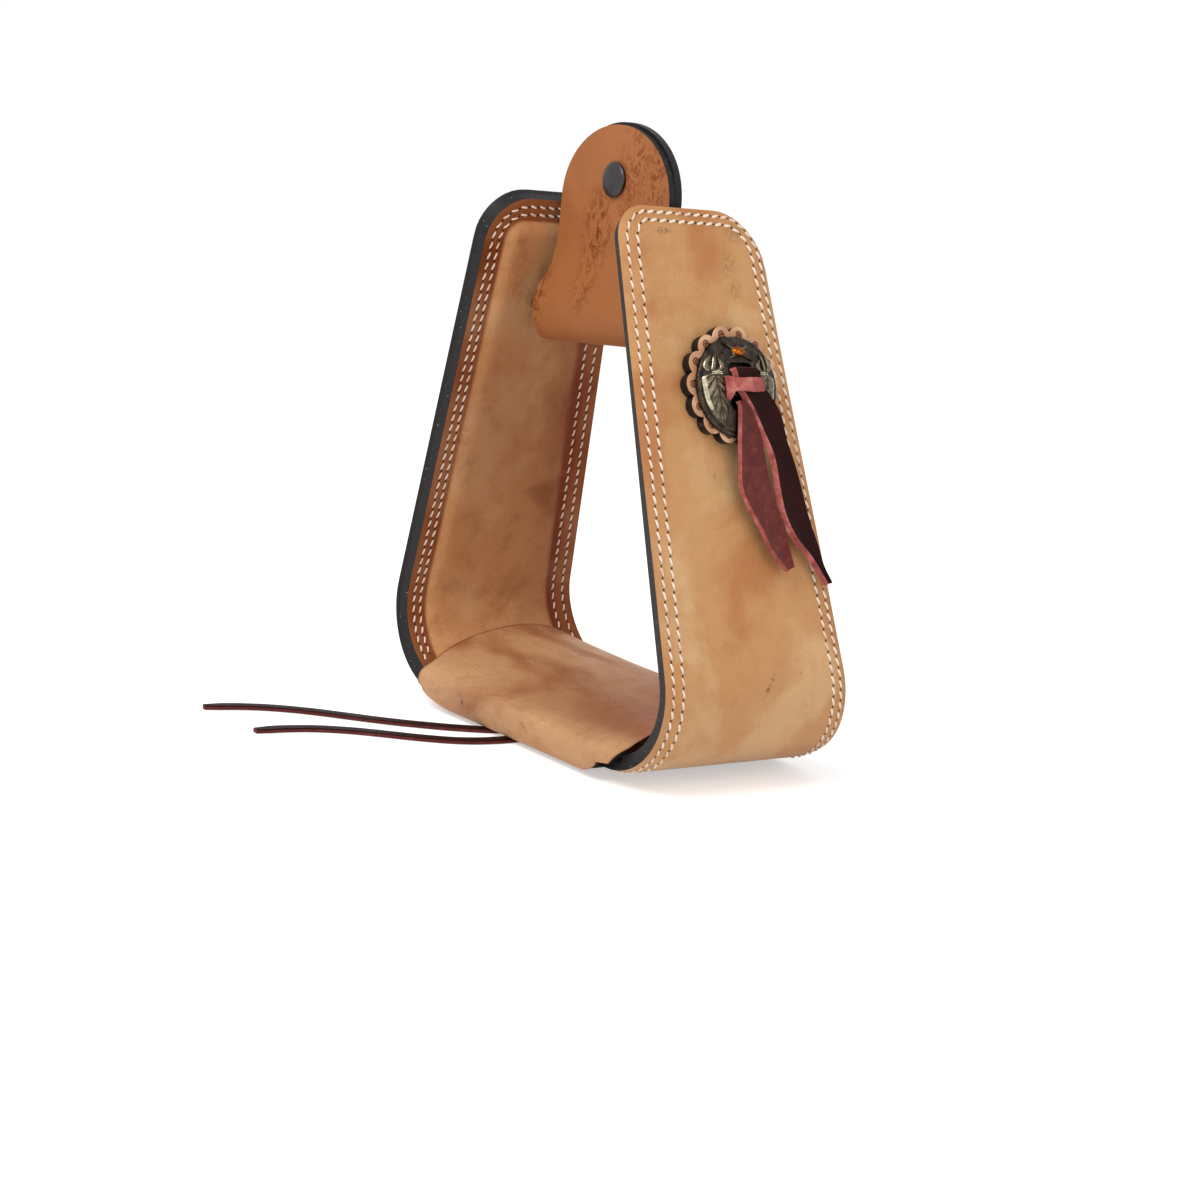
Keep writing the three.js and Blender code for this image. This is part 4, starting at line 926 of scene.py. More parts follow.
def sew(name, height, rows, end_rows, back_rows, hidden):
    """The stitches and awl holes of two rows round the bow, on one of its faces."""
    sizes = bpy.context.scene.stirrup_sizes
    points, faces, marks = [], [], []
    inward = height(0, 0) > COVER_THICK
    facing = -1 if inward else 1
    turn = sizes.stitch_slant * facing
    half, awl = sizes.stitch_length * 500, sizes.awl_hole * 500
    radius = sizes.thread_width * (425 if inward else 500)
    for distances in zip(rows, end_rows, back_rows):
        holes, middles = stitch_spots(row_path(height, *distances), sizes.stitch_pitch * 1000)
        for spots, is_hole in ((middles, False), (holes, True)):
            for place, run, along in spots:
                if hidden(place, along):
                    continue
                out = bow_outward(along) * facing
                out = (out - run * out.dot(run)).normalized()
                side = out.cross(run)
                start = len(points)
                # Each awl hole is a flat dark patch on the leather: painted shade of the hole
                if is_hole:
                    for c, s in circle(6):
                        p = place + run * awl * c * 1.1 + side * awl * s
                        points.append(to_row(*(p + out * (0.16 if inward else 0.05))))
                    faces.append([start + k for k in range(6)])
                    marks.append(1)
                    continue
                lay = run * math.cos(turn) + side * math.sin(turn)
                flank = out.cross(lay)
                for u, r, lift in STITCH:
                    for c, s in circle(6):
                        p = place + lay * half * u + flank * radius * r * c
                        p += out * (lift + radius * 0.75 * r * s)
                        points.append(to_row(*p))
                faces += sleeve(start, len(STITCH), 6)
                faces += [[start + k for k in range(5, -1, -1)], [start + 30 + k for k in range(6)]]
                marks += [0] * (len(faces) - len(marks))
    threads = [kept(sewing_thread, "waxed white nylon thread"),
               kept(dark_recess, "awl hole in leather", "#3A2418")]
    settle(new_piece(name, points, faces, threads, marks, 60, False), "frame")


def pinch(along, y):
    """How much each face falls where the edge is skived thin, at the top of the +X leg."""
    if along < 0:
        return 0
    share = smooth((bow_point(along, 0)[1] - 70) / 90)
    near = max(1 - from_edge(along, y) / 8, 0)
    return bpy.context.scene.stirrup_sizes.edge_pinch * 1000 * share * near * near


def cover_height(along, y):
    sizes = bpy.context.scene.stirrup_sizes
    near = max(1 - from_edge(along, y) / (sizes.edge_fall_reach * 1000), 0)
    return sizes.edge_fall * 1000 * near * near + pinch(along, y)


def cover_rub_and_lower_tone(along, y):
    """Redder at the sewn border, as the leather is creased and handled there; darker towards the
    bottom of the bow.
    """
    height = bow_point(along, 0)[1]
    much = 0.1 + 0.32 * (1 - smooth((height - 60) / 120))
    return max(much * hill(from_edge(along, y) / 7), 0.2 * (1 - smooth((height - 30) / 60)))


# ---------------------------------------------------------------- operators


class STIRRUP_OT_camera(bpy.types.Operator):
    """Sets the camera where the photographer stood"""

    bl_idname = "stirrup.camera"
    bl_label = "Camera"

    def execute(self, context):
        lens = bpy.data.cameras.new("camera")
        lens.lens, lens.sensor_width = 72, 36
        eye = bpy.data.objects.new("camera", lens)
        right = Vector((0.59316879, 0.79960969, 0.09367569))
        up = Vector((-0.20386123, 0.03661763, 0.97831475))
        back = Vector((0.77883977, -0.59940261, 0.18472985))
        turn = Matrix((right, up, back)).transposed().to_4x4()
        eye.matrix_world = Matrix.Translation((0.749779, -0.585500, 0.235076)) @ turn
        context.scene.collection.objects.link(eye)
        context.scene.camera = eye
        return {"FINISHED"}


# The two free lace tails in the finished part's frame, mm, on the floor from the knot
TAILS = (("front", [(-13.2, -4.5), (-13.3, -12), (-14.5, -24), (-18, -38), (-25, -52),
                    (-34, -65), (-44, -77), (-55, -88), (-66, -99), (-75, -111), (-81, -124),
                    (-84, -138)]),
         ("side", [(-7.3, -4.5), (-7.2, -12), (-6.2, -24), (-5, -37), (-5, -50), (-8, -63),
                   (-15, -75), (-24, -86), (-33, -97), (-40, -109), (-44, -122), (-45, -136)]))
# The lace's own section across and up, mm, and its materials: face, back and edges
LACE_SECTION = ((-LACE_HALF_WIDTH, -0.35), (-2.4, -LACE_HALF_THICK), (2.4, -LACE_HALF_THICK),
                (LACE_HALF_WIDTH, -0.35), (LACE_HALF_WIDTH, 0.35), (2.35, 0.82),
                (0, LACE_HALF_THICK), (-2.35, 0.82), (-LACE_HALF_WIDTH, 0.35))
LACE_MARKS = [2, 1, 2, 2, 0, 0, 0, 0, 2]


def lace_materials():
    return [latigo_grain(), latigo_suede(), latigo_suede()]


class STIRRUP_OT_lace_tails(bpy.types.Operator):
    """Lays the two free ends of the tread's lace on the floor"""

    bl_idname = "stirrup.lace_tails"
    bl_label = "Lace tails"

    def execute(self, context):
        steps, count = 72, len(LACE_SECTION)
        for name, route in TAILS:
            middle = [curve_at(route, k / steps) for k in range(steps + 1)]
            points = []
            for k, (x, y) in enumerate(middle):
                before, after = middle[max(k - 1, 0)], middle[min(k + 1, steps)]
                dx, dy = (after - before) / np.linalg.norm(after - before)
                slim = 1 - 0.14 * max(k - steps + 3, 0)
                for w, t in LACE_SECTION:
                    waver = 0.06 * math.sin(k * 0.9 + w) * dy
                    points.append(((x - dy * w * slim + waver) / 1000,
                                   (y + dx * w * slim) / 1000, (LACE_HALF_THICK + t) / 1000))
            faces = sleeve(0, steps + 1, count)
            faces += [list(range(count)), [steps * count + j for j in range(count)]]
            tail = new_piece("lace_tail_" + name + "_strap", points, faces, lace_materials(),
                             LACE_MARKS * steps + [2, 2], 45)
            settle(tail, "frame", "lace_tail_" + name)
            path = [(x / 1000, y / 1000, 0.0009) for x, y in middle]
            length = sum(math.dist(a, b) for a, b in zip(path, path[1:]))
            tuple(path[0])
        return {"FINISHED"}


class STIRRUP_OT_cover(bpy.types.Operator):
    """Makes the outer leather of the bow, sewn with two rows of thread"""

    bl_idname = "stirrup.cover"
    bl_label = "Cover"

    def execute(self, context):
        sizes = context.scene.stirrup_sizes
        insets = [0, 0.9, 2, 3.5, 5, 6.5, 8, 9.5, 11, 13, 16]
        upper, rubbed = bow_grid(insets, 11, cover_height, cover_rub_and_lower_tone)
        lower = bow_grid(insets, 11, lambda along, y: COVER_THICK, inset=EDGE_BEVEL / 2)
        cover = sheet_piece("cover", upper, lower, [cover_leather(), tan_flesh(), dyed_edge()],
                            sizes.edge_round, burnish=rubbed)
        settle(cover, "frame", "outer_cover")
        rows = [r * 1000 for r in sizes.cover_rows]
        sew("cover_stitching", cover_height, rows, (2.5, 5.7), rows,
            lambda place, along: abs(along) < 51)
        return {"FINISHED"}


class STIRRUP_OT_liner(bpy.types.Operator):
    """Makes the inner leather with its raised panel and sewn border"""

    bl_idname = "stirrup.liner"
    bl_label = "Liner"

    def execute(self, context):
        # Its rubbed colour is the sewn border's own red brown and also the painted shade and light
        # that rubbed() lays on the panel
        leather = saddle_leather("red brown saddle leather", *tints_of("liner"), cloud=42,
                                 stain=0.5, rubbed="#78330D", creased=0.5, gloss=0.12)
        insets = [0, 0.8, 1.8, 2.8, 3.4, 4.2, 5.2, 6.2, 7, 7.8, 8.4, 8.8, 9.2, 9.7, 10.4,
                  11.4, 12.6, 14.2, 16.4, 19]
        sizes = context.scene.stirrup_sizes
        rows = [r * 1000 for r in sizes.liner_rows]
        back_rows = [rows[0] + 0.7, rows[1] + 2.6]

        def top(along, y):
            away = from_edge(along, y)
            dip = sum(hill((away - row) / 0.7) for row in (back_rows if y > 0 else rows))
            crease = hill(panel_inside(along, y) / 0.5)
            return liner_top(along, y) - 0.25 * dip - 0.3 * crease - pinch(along, y)

        def rubbed(along, y):
            """Painted light and shade: darker half way up the legs and paler in the bends, which
            face up; painted shade along the legs' back and at the foot of the raised panel's back
            side; a painted highlight on the panel's rim. Over the sewn border the rubbed colour is
            also the leather's own red brown.
            """
            front, back = straight_edges(along)
            height, inside = bow_point(along, 0)[1], panel_inside(along, y)
            # Painted light: darker half way up the legs, paler in the bends where the liner faces
            # up
            share = 0.36 * hill((height - 120) / 52) + 0.08 * smooth(height / 60)
            # Painted shade at the foot of the raised panel's back side and along the back strip of
            # the legs
            behind = 0.0 if y < (front + back) / 2 else 0.6 * hill(inside / 3.2)
            behind += 0.24 * hill((back - y - 16) / 12)
            # Painted highlight along the raised panel's rim
            lip = 0.16 * hill((inside - 3) / 3)
            return min(lerp(0.74 + 0.4 * behind, share + behind - lip, smooth(inside)), 0.97)

        def under(along, y):
            return lerp(COVER_THICK, PANEL_TOP - LINER_THICK - 0.1, panel_share(along, y))

        def hidden(place, along):
            return abs(place.x) < 78 and place.z < crown_height(place.x, place.y) - 0.5

        upper, shares = bow_grid(insets, 9, top, rubbed, inset=EDGE_BEVEL)
        lower = bow_grid(insets, 9, under, inset=EDGE_BEVEL / 2)
        liner = sheet_piece("liner", upper, lower, [leather, tan_flesh(), dyed_edge()],
                            sizes.edge_round, burnish=shares)
        settle(liner, "frame", "inner_liner")
        sew("liner_stitching", top, rows, rows, back_rows, hidden)
        return {"FINISHED"}


class STIRRUP_OT_tread(bpy.types.Operator):
    """Makes the padded tread: the felt and the leather wrapped round it"""

    bl_idname = "stirrup.tread"
    bl_label = "Tread"

    def execute(self, context):
        # Its rubbed colour is the burnished cut ends, worn leather, and painted shade towards the
        # +X leg
        leather = saddle_leather("brown wrap leather", *tints_of("wrap"), cloud=40, stain=0.45,
                                 stretch=(0.45, 1, 1), rubbed="#8A4B25", creased=1)
        # A squiggle of dark scratches on the tread's front edge, and a fainter score
        scratches = (((-0.0359, -0.0476, 0.0094), (0.0011, 0.003, 0.0033), (0, -0.75, 0), 1.0),
                     ((0.008, -0.0477, 0.0099), (0.0035, 0.003, 0.0008), (0, 0.5, 0), 0.7))
        handling_marks(leather, scratches, "#5E3A22")
        line, columns = wrap_line(), 41
        noses = [i for i, station in enumerate(line)
                 if station[0] == "nose" and abs(station[2] - math.pi / 4) < 0.1]
        grids, rubbed = [], np.ones((len(line), columns))  # its cut ends are burnished
        for drop in (0, WRAP_THICK):
            grid = np.zeros((len(line), columns, 3))
            for i, station in enumerate(line):
                left, right = (wrap_half_width(station, drop, end) for end in (-1, 1))
                for j in range(columns):
                    u = 2 * j / (columns - 1) - 1
                    u = math.copysign(1 - (1 - abs(u)) ** 1.25, u)
                    x = (left if u < 0 else right) * u
                    y, z = wrap_place(station, x, drop)
                    if station[0] == "crown" and not drop:
                        z += 0.25 * math.sin(y * 0.11 + x * 0.05)
                    grid[i, j] = to_row(x, y, z)
                    # Darker towards the +X leg and back from the front edge: partly worn leather,
                    # partly painted shade
                    if 0 < j < columns - 1:
                        rubbed[i, j] = 0.14 + 0.72 * smooth((x + 50) / 105) * smooth(
                            (y - TREAD_FRONT + 8) / 22)
            soften(grid, noses, 26)
            grids.append(grid)
        wrap = sheet_piece("tread_leather", *grids, [leather, tan_flesh(), dyed_edge()],
                           context.scene.stirrup_sizes.edge_round * 1.3, burnish=rubbed)
        settle(wrap, "frame", "tread_wrap")
        felt = kept(pressed_felt, "pressed wool felt")
        pad = sheet_piece("tread_felt", *two_nets(19, 29, self.pad_place), [felt], 0.001, 3, 70)
        settle(pad, "frame", "tread_pad")
        return {"FINISHED"}

    def pad_place(self, t, across, side):
        """A point of the pad, which fills the room between the liner and the wrap."""
        y = lerp(TREAD_FRONT + 4.5, TREAD_BACK - 4.5, t)
        pull = 3.5 * (2 * t - 1) ** 4
        x = (crown_reach(y, WRAP_THICK + 1) - 3.5) * (2 * across - 1) * (1 - 0.02 * pull)
        along = x
        if abs(x) > HALF_FLAT:
            turn = math.asin(min((abs(x) - HALF_FLAT) / (BEND_RADIUS - PANEL_TOP), 1))
            along = math.copysign(HALF_FLAT + BEND_RADIUS * turn, x)
        floor = bow_point(along, liner_top(along, y) + 0.5)[1]
        roof = max(crown_height(x, y) - WRAP_OUT - 0.8 - pull, floor + 0.8)
        return to_row(x, y, roof if side > 0 else floor)


class STIRRUP_OT_lacing(bpy.types.Operator):
    """Makes the lace bars across the seam under the tread, and their knot"""

    bl_idname = "stirrup.lacing"
    bl_label = "Lacing"

    def execute(self, context):
        for k in range(5):
            grids = two_nets(31, 7, lambda t, v, side: self.bar_place(k, t, v, side))
            bar = sheet_piece(f"lace_run_{k + 1}", *grids, lace_materials(), 0.0003)
            settle(bar, "frame", f"lace_bar_{k + 1}")
        self.knot()
        return {"FINISHED"}

    def bar_place(self, k, t, across, side):
        """A point of a bar, which runs straight over the seam and bends up into its slots."""
        v, w, bent = 2 * t - 1, 2 * across - 1, 2.2
        bend = max(abs(v) - 0.82, 0) / 0.18
        s, c = math.sin(bend * math.pi / 2), math.cos(bend * math.pi / 2)
        y = math.copysign(min(abs(v) / 0.82, 1) * (12 - bent) + bent * s, v)
        rise = bent * (1 - c) + 1.6 * max(bend - 0.7, 0)
        wide = LACE_HALF_WIDTH * (1 - 0.05 * math.cos(v * 9 + k))
        x = (k - 2) * LACE_PITCH + LACE_SHIFT + w * wide
        out = LACE_HALF_THICK - 0.25 * w * w if side > 0 else -LACE_HALF_THICK
        return (x / 1000, (TREAD_MIDDLE + SET_Y + y + math.copysign(s, v) * out) / 1000,
                max(LACE_HALF_THICK + rise - c * out, 0) / 1000)

    def knot(self):
        """Three turns of lace round a small core, flattened between wrap and floor."""
        points, faces = [], []
        cx, cy, cz = LACE_SHIFT - LACE_PITCH / 2, TREAD_MIDDLE + SET_Y, 2.35
        for tilt, shift, scale in ((0.0, 0.0, 1.0), (0.95, 0.5, 0.92), (-0.95, -0.5, 0.9)):
            faces += sleeve(len(points), 40, 5, True)
            for c, s in circle(40):
                ring, out = Vector((c * 3.9, 0, s * 1.75)) * scale, Vector((c, 0, s))
                for w, t in ((-2.1, -0.35), (-2.1, 0.35), (0, 0.55), (2.1, 0.35), (2.1, -0.35)):
                    p = ring + out * t + Vector((0, w + shift, 0))
                    turned = Matrix.Rotation(tilt, 3, "Z") @ p
                    z = min(max(cz + turned.z, 0.02), 4.5)
                    points.append(((cx + turned.x) / 1000, (cy + turned.y) / 1000, z / 1000))
        knot = new_piece("lace_knot_turns", points, faces, [latigo_grain(), latigo_suede()],
                         [1, 0, 0, 1, 1] * (len(faces) // 5), 45)
        settle(knot, "frame", "lace_knot")


class STIRRUP_OT_bar(bpy.types.Operator):
    """Finishes the bar, its roller and the metal bow inside the leather"""

    bl_idname = "stirrup.bar"
    bl_label = "Bar and roller"

    def execute(self, context):
        ends, radius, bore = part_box("roller_sleeve")[1].x * 1000, ROLLER_RADIUS, ROLLER_BORE
        profile = [(bore, -ends), (radius - 0.6, -ends), (radius, 0.6 - ends),
                   (radius, ends - 0.6), (radius - 0.6, ends), (bore, ends)]
        turned = lathe(profile, 64, lambda a, b, h: to_row(h, a, BAR_HEIGHT + b))
        nylon = kept(moulded_nylon, "natural extruded nylon")
        settle(new_piece("roller", *turned, [nylon]), "roller", "roller_sleeve")
        # Cold drawn steel rod: grey, with fine lines along its length
        steel = worn_metal("cold drawn steel rod", "#7C7E81", "#A9ABAE", 0.35, 0.8,
                           (0.06, 1, 1))
        # Rolled aluminium strip, bent cold: pale grey with lines along the strip
        strip = worn_metal("rolled aluminium strip", "#A9ACB0", "#C9CBCE", 0.42, 1.2,
                           (1, 0.08, 1))
        for name, metal in (("crossbar", steel), ("core_bow", strip)):
            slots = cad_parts[name].data.materials
            slots.clear()
            slots.append(metal)
        return {"FINISHED"}


def tab_half_width(height):
    if height > TAB_TOP - TAB_ROUND:
        share = min((height - TAB_TOP + TAB_ROUND) / TAB_ROUND, 1)
        return TAB_BODY * math.sqrt(max(1 - share * share, 0))
    return lerp(TAB_BODY, TAB_LOOP, smooth((16 - height) / 11))


def tab_path():
    """Middle line of the folded tab in Y and height over the bar: front ply, then back."""
    ply = (TAB_THICK + TAB_GAP) / 2
    loop = TAB_BORE + TAB_THICK / 2
    close, above = Vector((-ply, TAB_CLOSE)), Vector((-ply, TAB_CLOSE + TAB_FILLET))
    leave = math.atan2(close.y, close.x) + math.acos(loop / close.length)
    touch = Vector((math.cos(leave), math.sin(leave))) * loop
    path = [Vector((-ply, TAB_TOP - TAB_ROUND + TAB_ROUND * math.sin(math.pi / 2 * k / 27)))
            for k in range(26, -1, -1)]
    path += [path[26].lerp(above, k / 4) for k in range(1, 4)]
    toward = close + (touch - close).normalized() * TAB_FILLET
    for t in (k / 6 for k in range(7)):
        path.append(above * (1 - t) ** 2 + close * 2 * t * (1 - t) + toward * t * t)
    path += [toward.lerp(touch, k / 6) for k in range(1, 7)]
    for a in (lerp(leave, math.pi * 1.5, k / 16) for k in range(1, 17)):
        path.append(Vector((math.cos(a), math.sin(a))) * loop)
    return path + [Vector((-p.x, p.y)) for p in reversed(path[:-1])]


class STIRRUP_OT_tab(bpy.types.Operator):
    """Folds the hanging tab round its roller and sets its rivet"""

    bl_idname = "stirrup.tab"
    bl_label = "Tab and rivet"

    def execute(self, context):
        path = tab_path()
        last = len(path) - 1

        def place(t, share, side):
            i, out = round(t * last), side * TAB_THICK / 2
            p, run = path[i], (path[min(i + 1, last)] - path[max(i - 1, 0)]).normalized()
            y, z = p.x + out * run.y, p.y - out * run.x
            if p.y > TAB_CLOSE + TAB_FILLET:
                y -= math.copysign(TAB_GAP / 2, p.x)
                if p.x > 0:
                    z += TAB_BACK_RISE * smooth((p.y - TAB_CLOSE) / 40)
            sag = TAB_SAG * (1 - share) * smooth(-p.y / (TAB_BORE + TAB_THICK / 2))
            return to_row(tab_half_width(p.y) * (2 * share - 1), y, BAR_HEIGHT + z - sag)

        tab = sheet_piece("tab_strap", *two_nets(last + 1, 29, place),
                          [scarred_leather(), tan_flesh(), dyed_edge()],
                          context.scene.stirrup_sizes.edge_round)
        for face in tab.data.polygons:
            height = face.center.z * 1000 - SET_Z - BAR_HEIGHT
            from_side = tab_half_width(height) - abs(face.center.x * 1000)
            if face.material_index == 1 and height > TAB_CLOSE and from_side < 9:
                face.material_index = 2
        settle(tab, "tab", "hanger_tab")
        # Steel cap, burnished black: dark gunmetal, soft highlight, rubbed at its rim
        metal = worn_metal("burnished gunmetal cap", "#423F40", "#4E4B4B", 0.34, 5, depth=0.00004)
        face = TAB_THICK + TAB_GAP / 2
        seat, r = -face - 0.3, RIVET_RADIUS
        cap = [(0, seat - 2.1)]
        cap += [(r * math.sin(t), seat - 0.55 - 1.5 * math.cos(t) ** 0.8)
                for t in (0.2, 0.45, 0.7, 0.95, 1.2, 1.4)]
        cap += [(r, seat - 0.5), (r - 0.1, seat - 0.1), (r - 0.5, seat), (1.8, seat),
                (1.8, face + 1.7), (0, face + 1.7)]
        base = [(r, face + h) for r, h in ((2.1, 0.3), (5.7, 0.3), (6, 0.6), (6, 1.1), (5.5, 1.6),
                                           (3, 1.75), (2.1, 1.75))]
        for name, profile, closed, node_name in (("rivet_dome", cap, False, "rivet_cap"),
                                                 ("rivet_back", base, True, "rivet_base")):
            turned = lathe(profile, 56, lambda a, b, h: to_row(a, h, BAR_HEIGHT + RIVET_HEIGHT + b),
                           closed)
            settle(new_piece(name, *turned, [metal]), "tab", node_name)
        return {"FINISHED"}


# ---------------------------------------------------------------- the concho


def concho_point(x, y, z):
    """A point of the concho's own frame (back, up the leg, out of its face) in the row."""
    along = BOW_END - (BOW_HEIGHT - CONCHO_HEIGHT) / math.cos(LEAN)
    ox, oz = bow_point(along, 0)
    s, c = math.sin(LEAN), math.cos(LEAN)
    return to_row(ox - y * s + z * c, CONCHO_SETBACK + x, oz + y * c + z * s)


def dome(radius):
    share = min(radius / CONCHO_RADIUS, 1)
    return CONCHO_SEAT + 1.4 + 3 * (1 - share * share)


def on_dome(x, y, lift):
    return concho_point(x, y, dome(math.hypot(x, y)) + lift)


def scallop_radius(angle):
    """Distance of the rosette's outline from its middle at an angle."""
    pitch = 2 * math.pi / SCALLOPS
    off = (angle + pitch / 2) % pitch - pitch / 2
    ring = ROSETTE_RADIUS - LOBE_RADIUS
    return ring * math.cos(off) + math.sqrt(max(LOBE_RADIUS**2 - (ring * math.sin(off)) ** 2, 0))


def leaf_piece(name, outline, side, lift, barbs, materials):
    """A raised leaf on the dome between two edge lines, with sunk barbs off its rib.

    side is 1 for the outline as it stands and -1 for its mirror image.
    """
    count, columns = 70, 17
    left, right = ([(side * x, y) for x, y in line] for line in outline)

    def sunk(u, v):
        wave = math.cos(2 * math.pi * (barbs * u - 1.7 * abs(v)))
        return barbs > 0 and (wave > 0.55 or abs(v) < 0.1) and 0.05 < u < 0.97

    def place(u, across, face):
        v = 2 * across - 1
        a, b = curve_at(left, u), curve_at(right, u)
        x, y = a + (b - a) * (v + 1) / 2
        body = (1 - v * v) ** 0.6 * math.sin(math.pi * min(max(u, 0.04), 0.96)) ** 0.4
        top = 0.25 + lift * body - (0.22 if sunk(u, v) else 0)
        return on_dome(x, y, top if face > 0 else -0.1)

    def mark(u, across):
        v = 2 * across - 1
        # Upper outer rim: bright plate, partly rubbed and partly a painted highlight
        if v < -0.8 and 0.04 < u < 0.7:
            return 2
        return int(sunk(u, v) and abs(v) < 0.8)

    faces, kinds = sheet_faces(count, columns)
    tints = net(count, columns, mark).reshape(-1)
    marks = [0 if kind else int(tints[face[0]]) for face, kind in zip(faces, kinds)]
    points = np.concatenate(two_nets(count, columns, place)).reshape(-1, 3)
    return new_piece(name, points, faces, materials, marks, 60)


FEATHER = ([(-14.4, 4.6), (-17.2, 3.2), (-17.1, -1), (-15.9, -6), (-12.8, -11), (-8.7, -14.6)],
           [(-10.6, 4.6), (-8.0, 2.8), (-7.1, -0.8), (-6.9, -5), (-7.2, -10.2), (-8.5, -14.6)])
# The three flames of the calyx over each feather, as outer and inner edges
PETALS = (([(-15.2, 5.6), (-16.4, 7.6), (-15.0, 10.2), (-12.6, 12.0)],
           [(-13.8, 5.8), (-14.0, 7.8), (-13.5, 10.0), (-12.4, 11.9)]),
          ([(-13.4, 6.0), (-12.9, 8.2), (-12.2, 10.6), (-10.6, 12.4)],
           [(-11.8, 6.0), (-11.3, 8.0), (-10.9, 10.2), (-10.4, 12.3)]),
          ([(-11.4, 5.8), (-9.8, 7.0), (-9.9, 8.8), (-10.4, 10.4)],
           [(-9.9, 5.4), (-7.9, 6.6), (-8.2, 8.8), (-10.2, 10.4)]))
SIDES = (("front", 1), ("back", -1))


class STIRRUP_OT_concho(bpy.types.Operator):
    """Makes the scalloped rosette and the metal concho with its relief"""

    bl_idname = "stirrup.concho"
    bl_label = "Concho"

    def execute(self, context):
        top = saddle_leather("tooled tan rosette leather", tint_of("rosette"),
                             linear("#DBB28C"), linear("#B9825A"), cloud=12, pore=0.8)
        stamp = dark_recess("tooled line in leather", "#5A2C16", 0.7)
        # Cast zinc, blackened and lacquered: near black with brown in its hollows
        black = worn_metal("blackened cast concho", "#282220", "#4F463C", 0.32, 3)
        # Silver plate over the cast relief, rubbed bright on its high places
        silver = worn_metal("antiqued silver plate", "#4C4234", "#8C8068", 0.3, 2.5)
        # The same plate, brighter: on the feathers' upper outer rims it is partly plate rubbed
        # through to bright metal and partly a painted highlight; it also covers the tied bands
        bright = worn_metal("rubbed bright silver plate", "#9A8F74", "#DAD1B8", 0.24, 2)
        # Copper plate under amber lacquer, warm and dark at its edge
        copper = worn_metal("amber lacquered copper plate", "#7A3A10", "#B5651E", 0.22, 2.5)
        amber = dark_recess("oiled centre of a stamped ring", "#A2602C", 0.6)
        rosette = self.rosette([top, stamp, dyed_edge(), amber])
        settle(rosette, "frame", "concho_rosette")
        settle(self.disc(black), "frame", "concho_disc")
        plate = [silver, black, bright]
        for name, side in SIDES:
            feather = leaf_piece("feather_" + name, FEATHER, side, 1.3, 6, plate)
            settle(feather, "frame", "concho_feather_" + name)
        for k, outline in enumerate(PETALS):
            for name, side in SIDES:
                petal = leaf_piece(f"petal_{name}_{k + 1}", outline, side, 0.8, 0, plate)
                settle(petal, "frame")
        settle(self.bands(bright), "frame")
        settle(self.star(silver), "frame", "concho_star")
        settle(self.bead(copper), "frame", "concho_bead")
        return {"FINISHED"}

    def rosette(self, materials):
        """Its outline ring by ring from the back, then the stamped rings on its scallops."""
        sides = SCALLOPS * 24
        outline = [scallop_radius(2 * math.pi * k / sides) for k in range(sides)]
        rings = [([r - inset for r in outline], z) for inset, z in (
            (0.25, 0.3), (0, 2.4), (0, 4.45), (0.25, 4.65), (0.7, 4.7), (2.4, 4.7), (3.6, 4.6))]
        rings += [([r] * sides, z) for r, z in ((13, 4.6), (2, 4.6), (2, 0.3))]
        points = [concho_point(r * c + SLIP_X, r * s + SLIP_Y, z)
                  for radii, z in rings for r, (c, s) in zip(radii, circle(sides))]
        faces = sleeve(0, len(rings), sides, True)
        marks = [0 if 2 <= n <= 5 else 2 for n in range(len(rings)) for _ in range(sides)]
        for ca, sa in circle(SCALLOPS):
            for radius, tube, mark in ((1.2, 0.36, 1), (0.001, 0.95, 3)):
                faces += sleeve(len(points), 20, 6, True)
                marks += [mark] * 120
                for c, s in circle(20):
                    for out, up in circle(6):
                        r = radius + tube * out
                        x = STAMP_RADIUS * ca + SLIP_X + ca * r * c - sa * r * s
                        y = STAMP_RADIUS * sa + SLIP_Y + sa * r * c + ca * r * s
                        points.append(concho_point(x, y, 4.66 + 0.12 * up))
        return new_piece("rosette", points, faces, materials, marks, 40)

    def disc(self, metal):
        profile = [(r, dome(r)) for r in (0, *np.linspace(1.2, 16.8, 14))]
        profile += [(17.2, dome(17.2) - 0.2), (17.7, dome(17.7) + 0.1), (18.3, dome(18.3) + 0.25),
                    (18.8, dome(18.8) + 0.05), (CONCHO_RADIUS, dome(19) - 0.4),
                    (CONCHO_RADIUS, CONCHO_SEAT + 0.2), (18.6, CONCHO_SEAT + 0.05)]
        profile += [(r, dome(r) - 1.2) for r in (*np.linspace(16.5, 1.2, 8), 0)]
        disc = new_piece("concho", *lathe(profile, 112, concho_point, False), [metal])
        for side in (-1, 1):
            # The slot's outline: two half circles of 2.7 mm, drawn 3.3 mm apart each way
            points = [concho_point(math.copysign(3.3, c) + 2.7 * c, side * 6.2 + 2.7 * s, z)
                      for z in (2, 14) for c, s in circle(32)]
            faces = [list(range(32)), list(range(32, 64))] + sleeve(0, 2, 32)
            cutter = new_piece("window cutter", points, faces, [metal])
            cut = disc.modifiers.new("window", "BOOLEAN")
            cut.object, cut.operation, cut.solver = cutter, "DIFFERENCE", "EXACT"
            with bpy.context.temp_override(object=disc, active_object=disc):
                bpy.ops.object.modifier_apply(modifier=cut.name)
            bpy.data.objects.remove(cutter)
        disc.data.shade_smooth()
        disc.data.set_sharp_from_angle(angle=math.radians(40))
        return disc

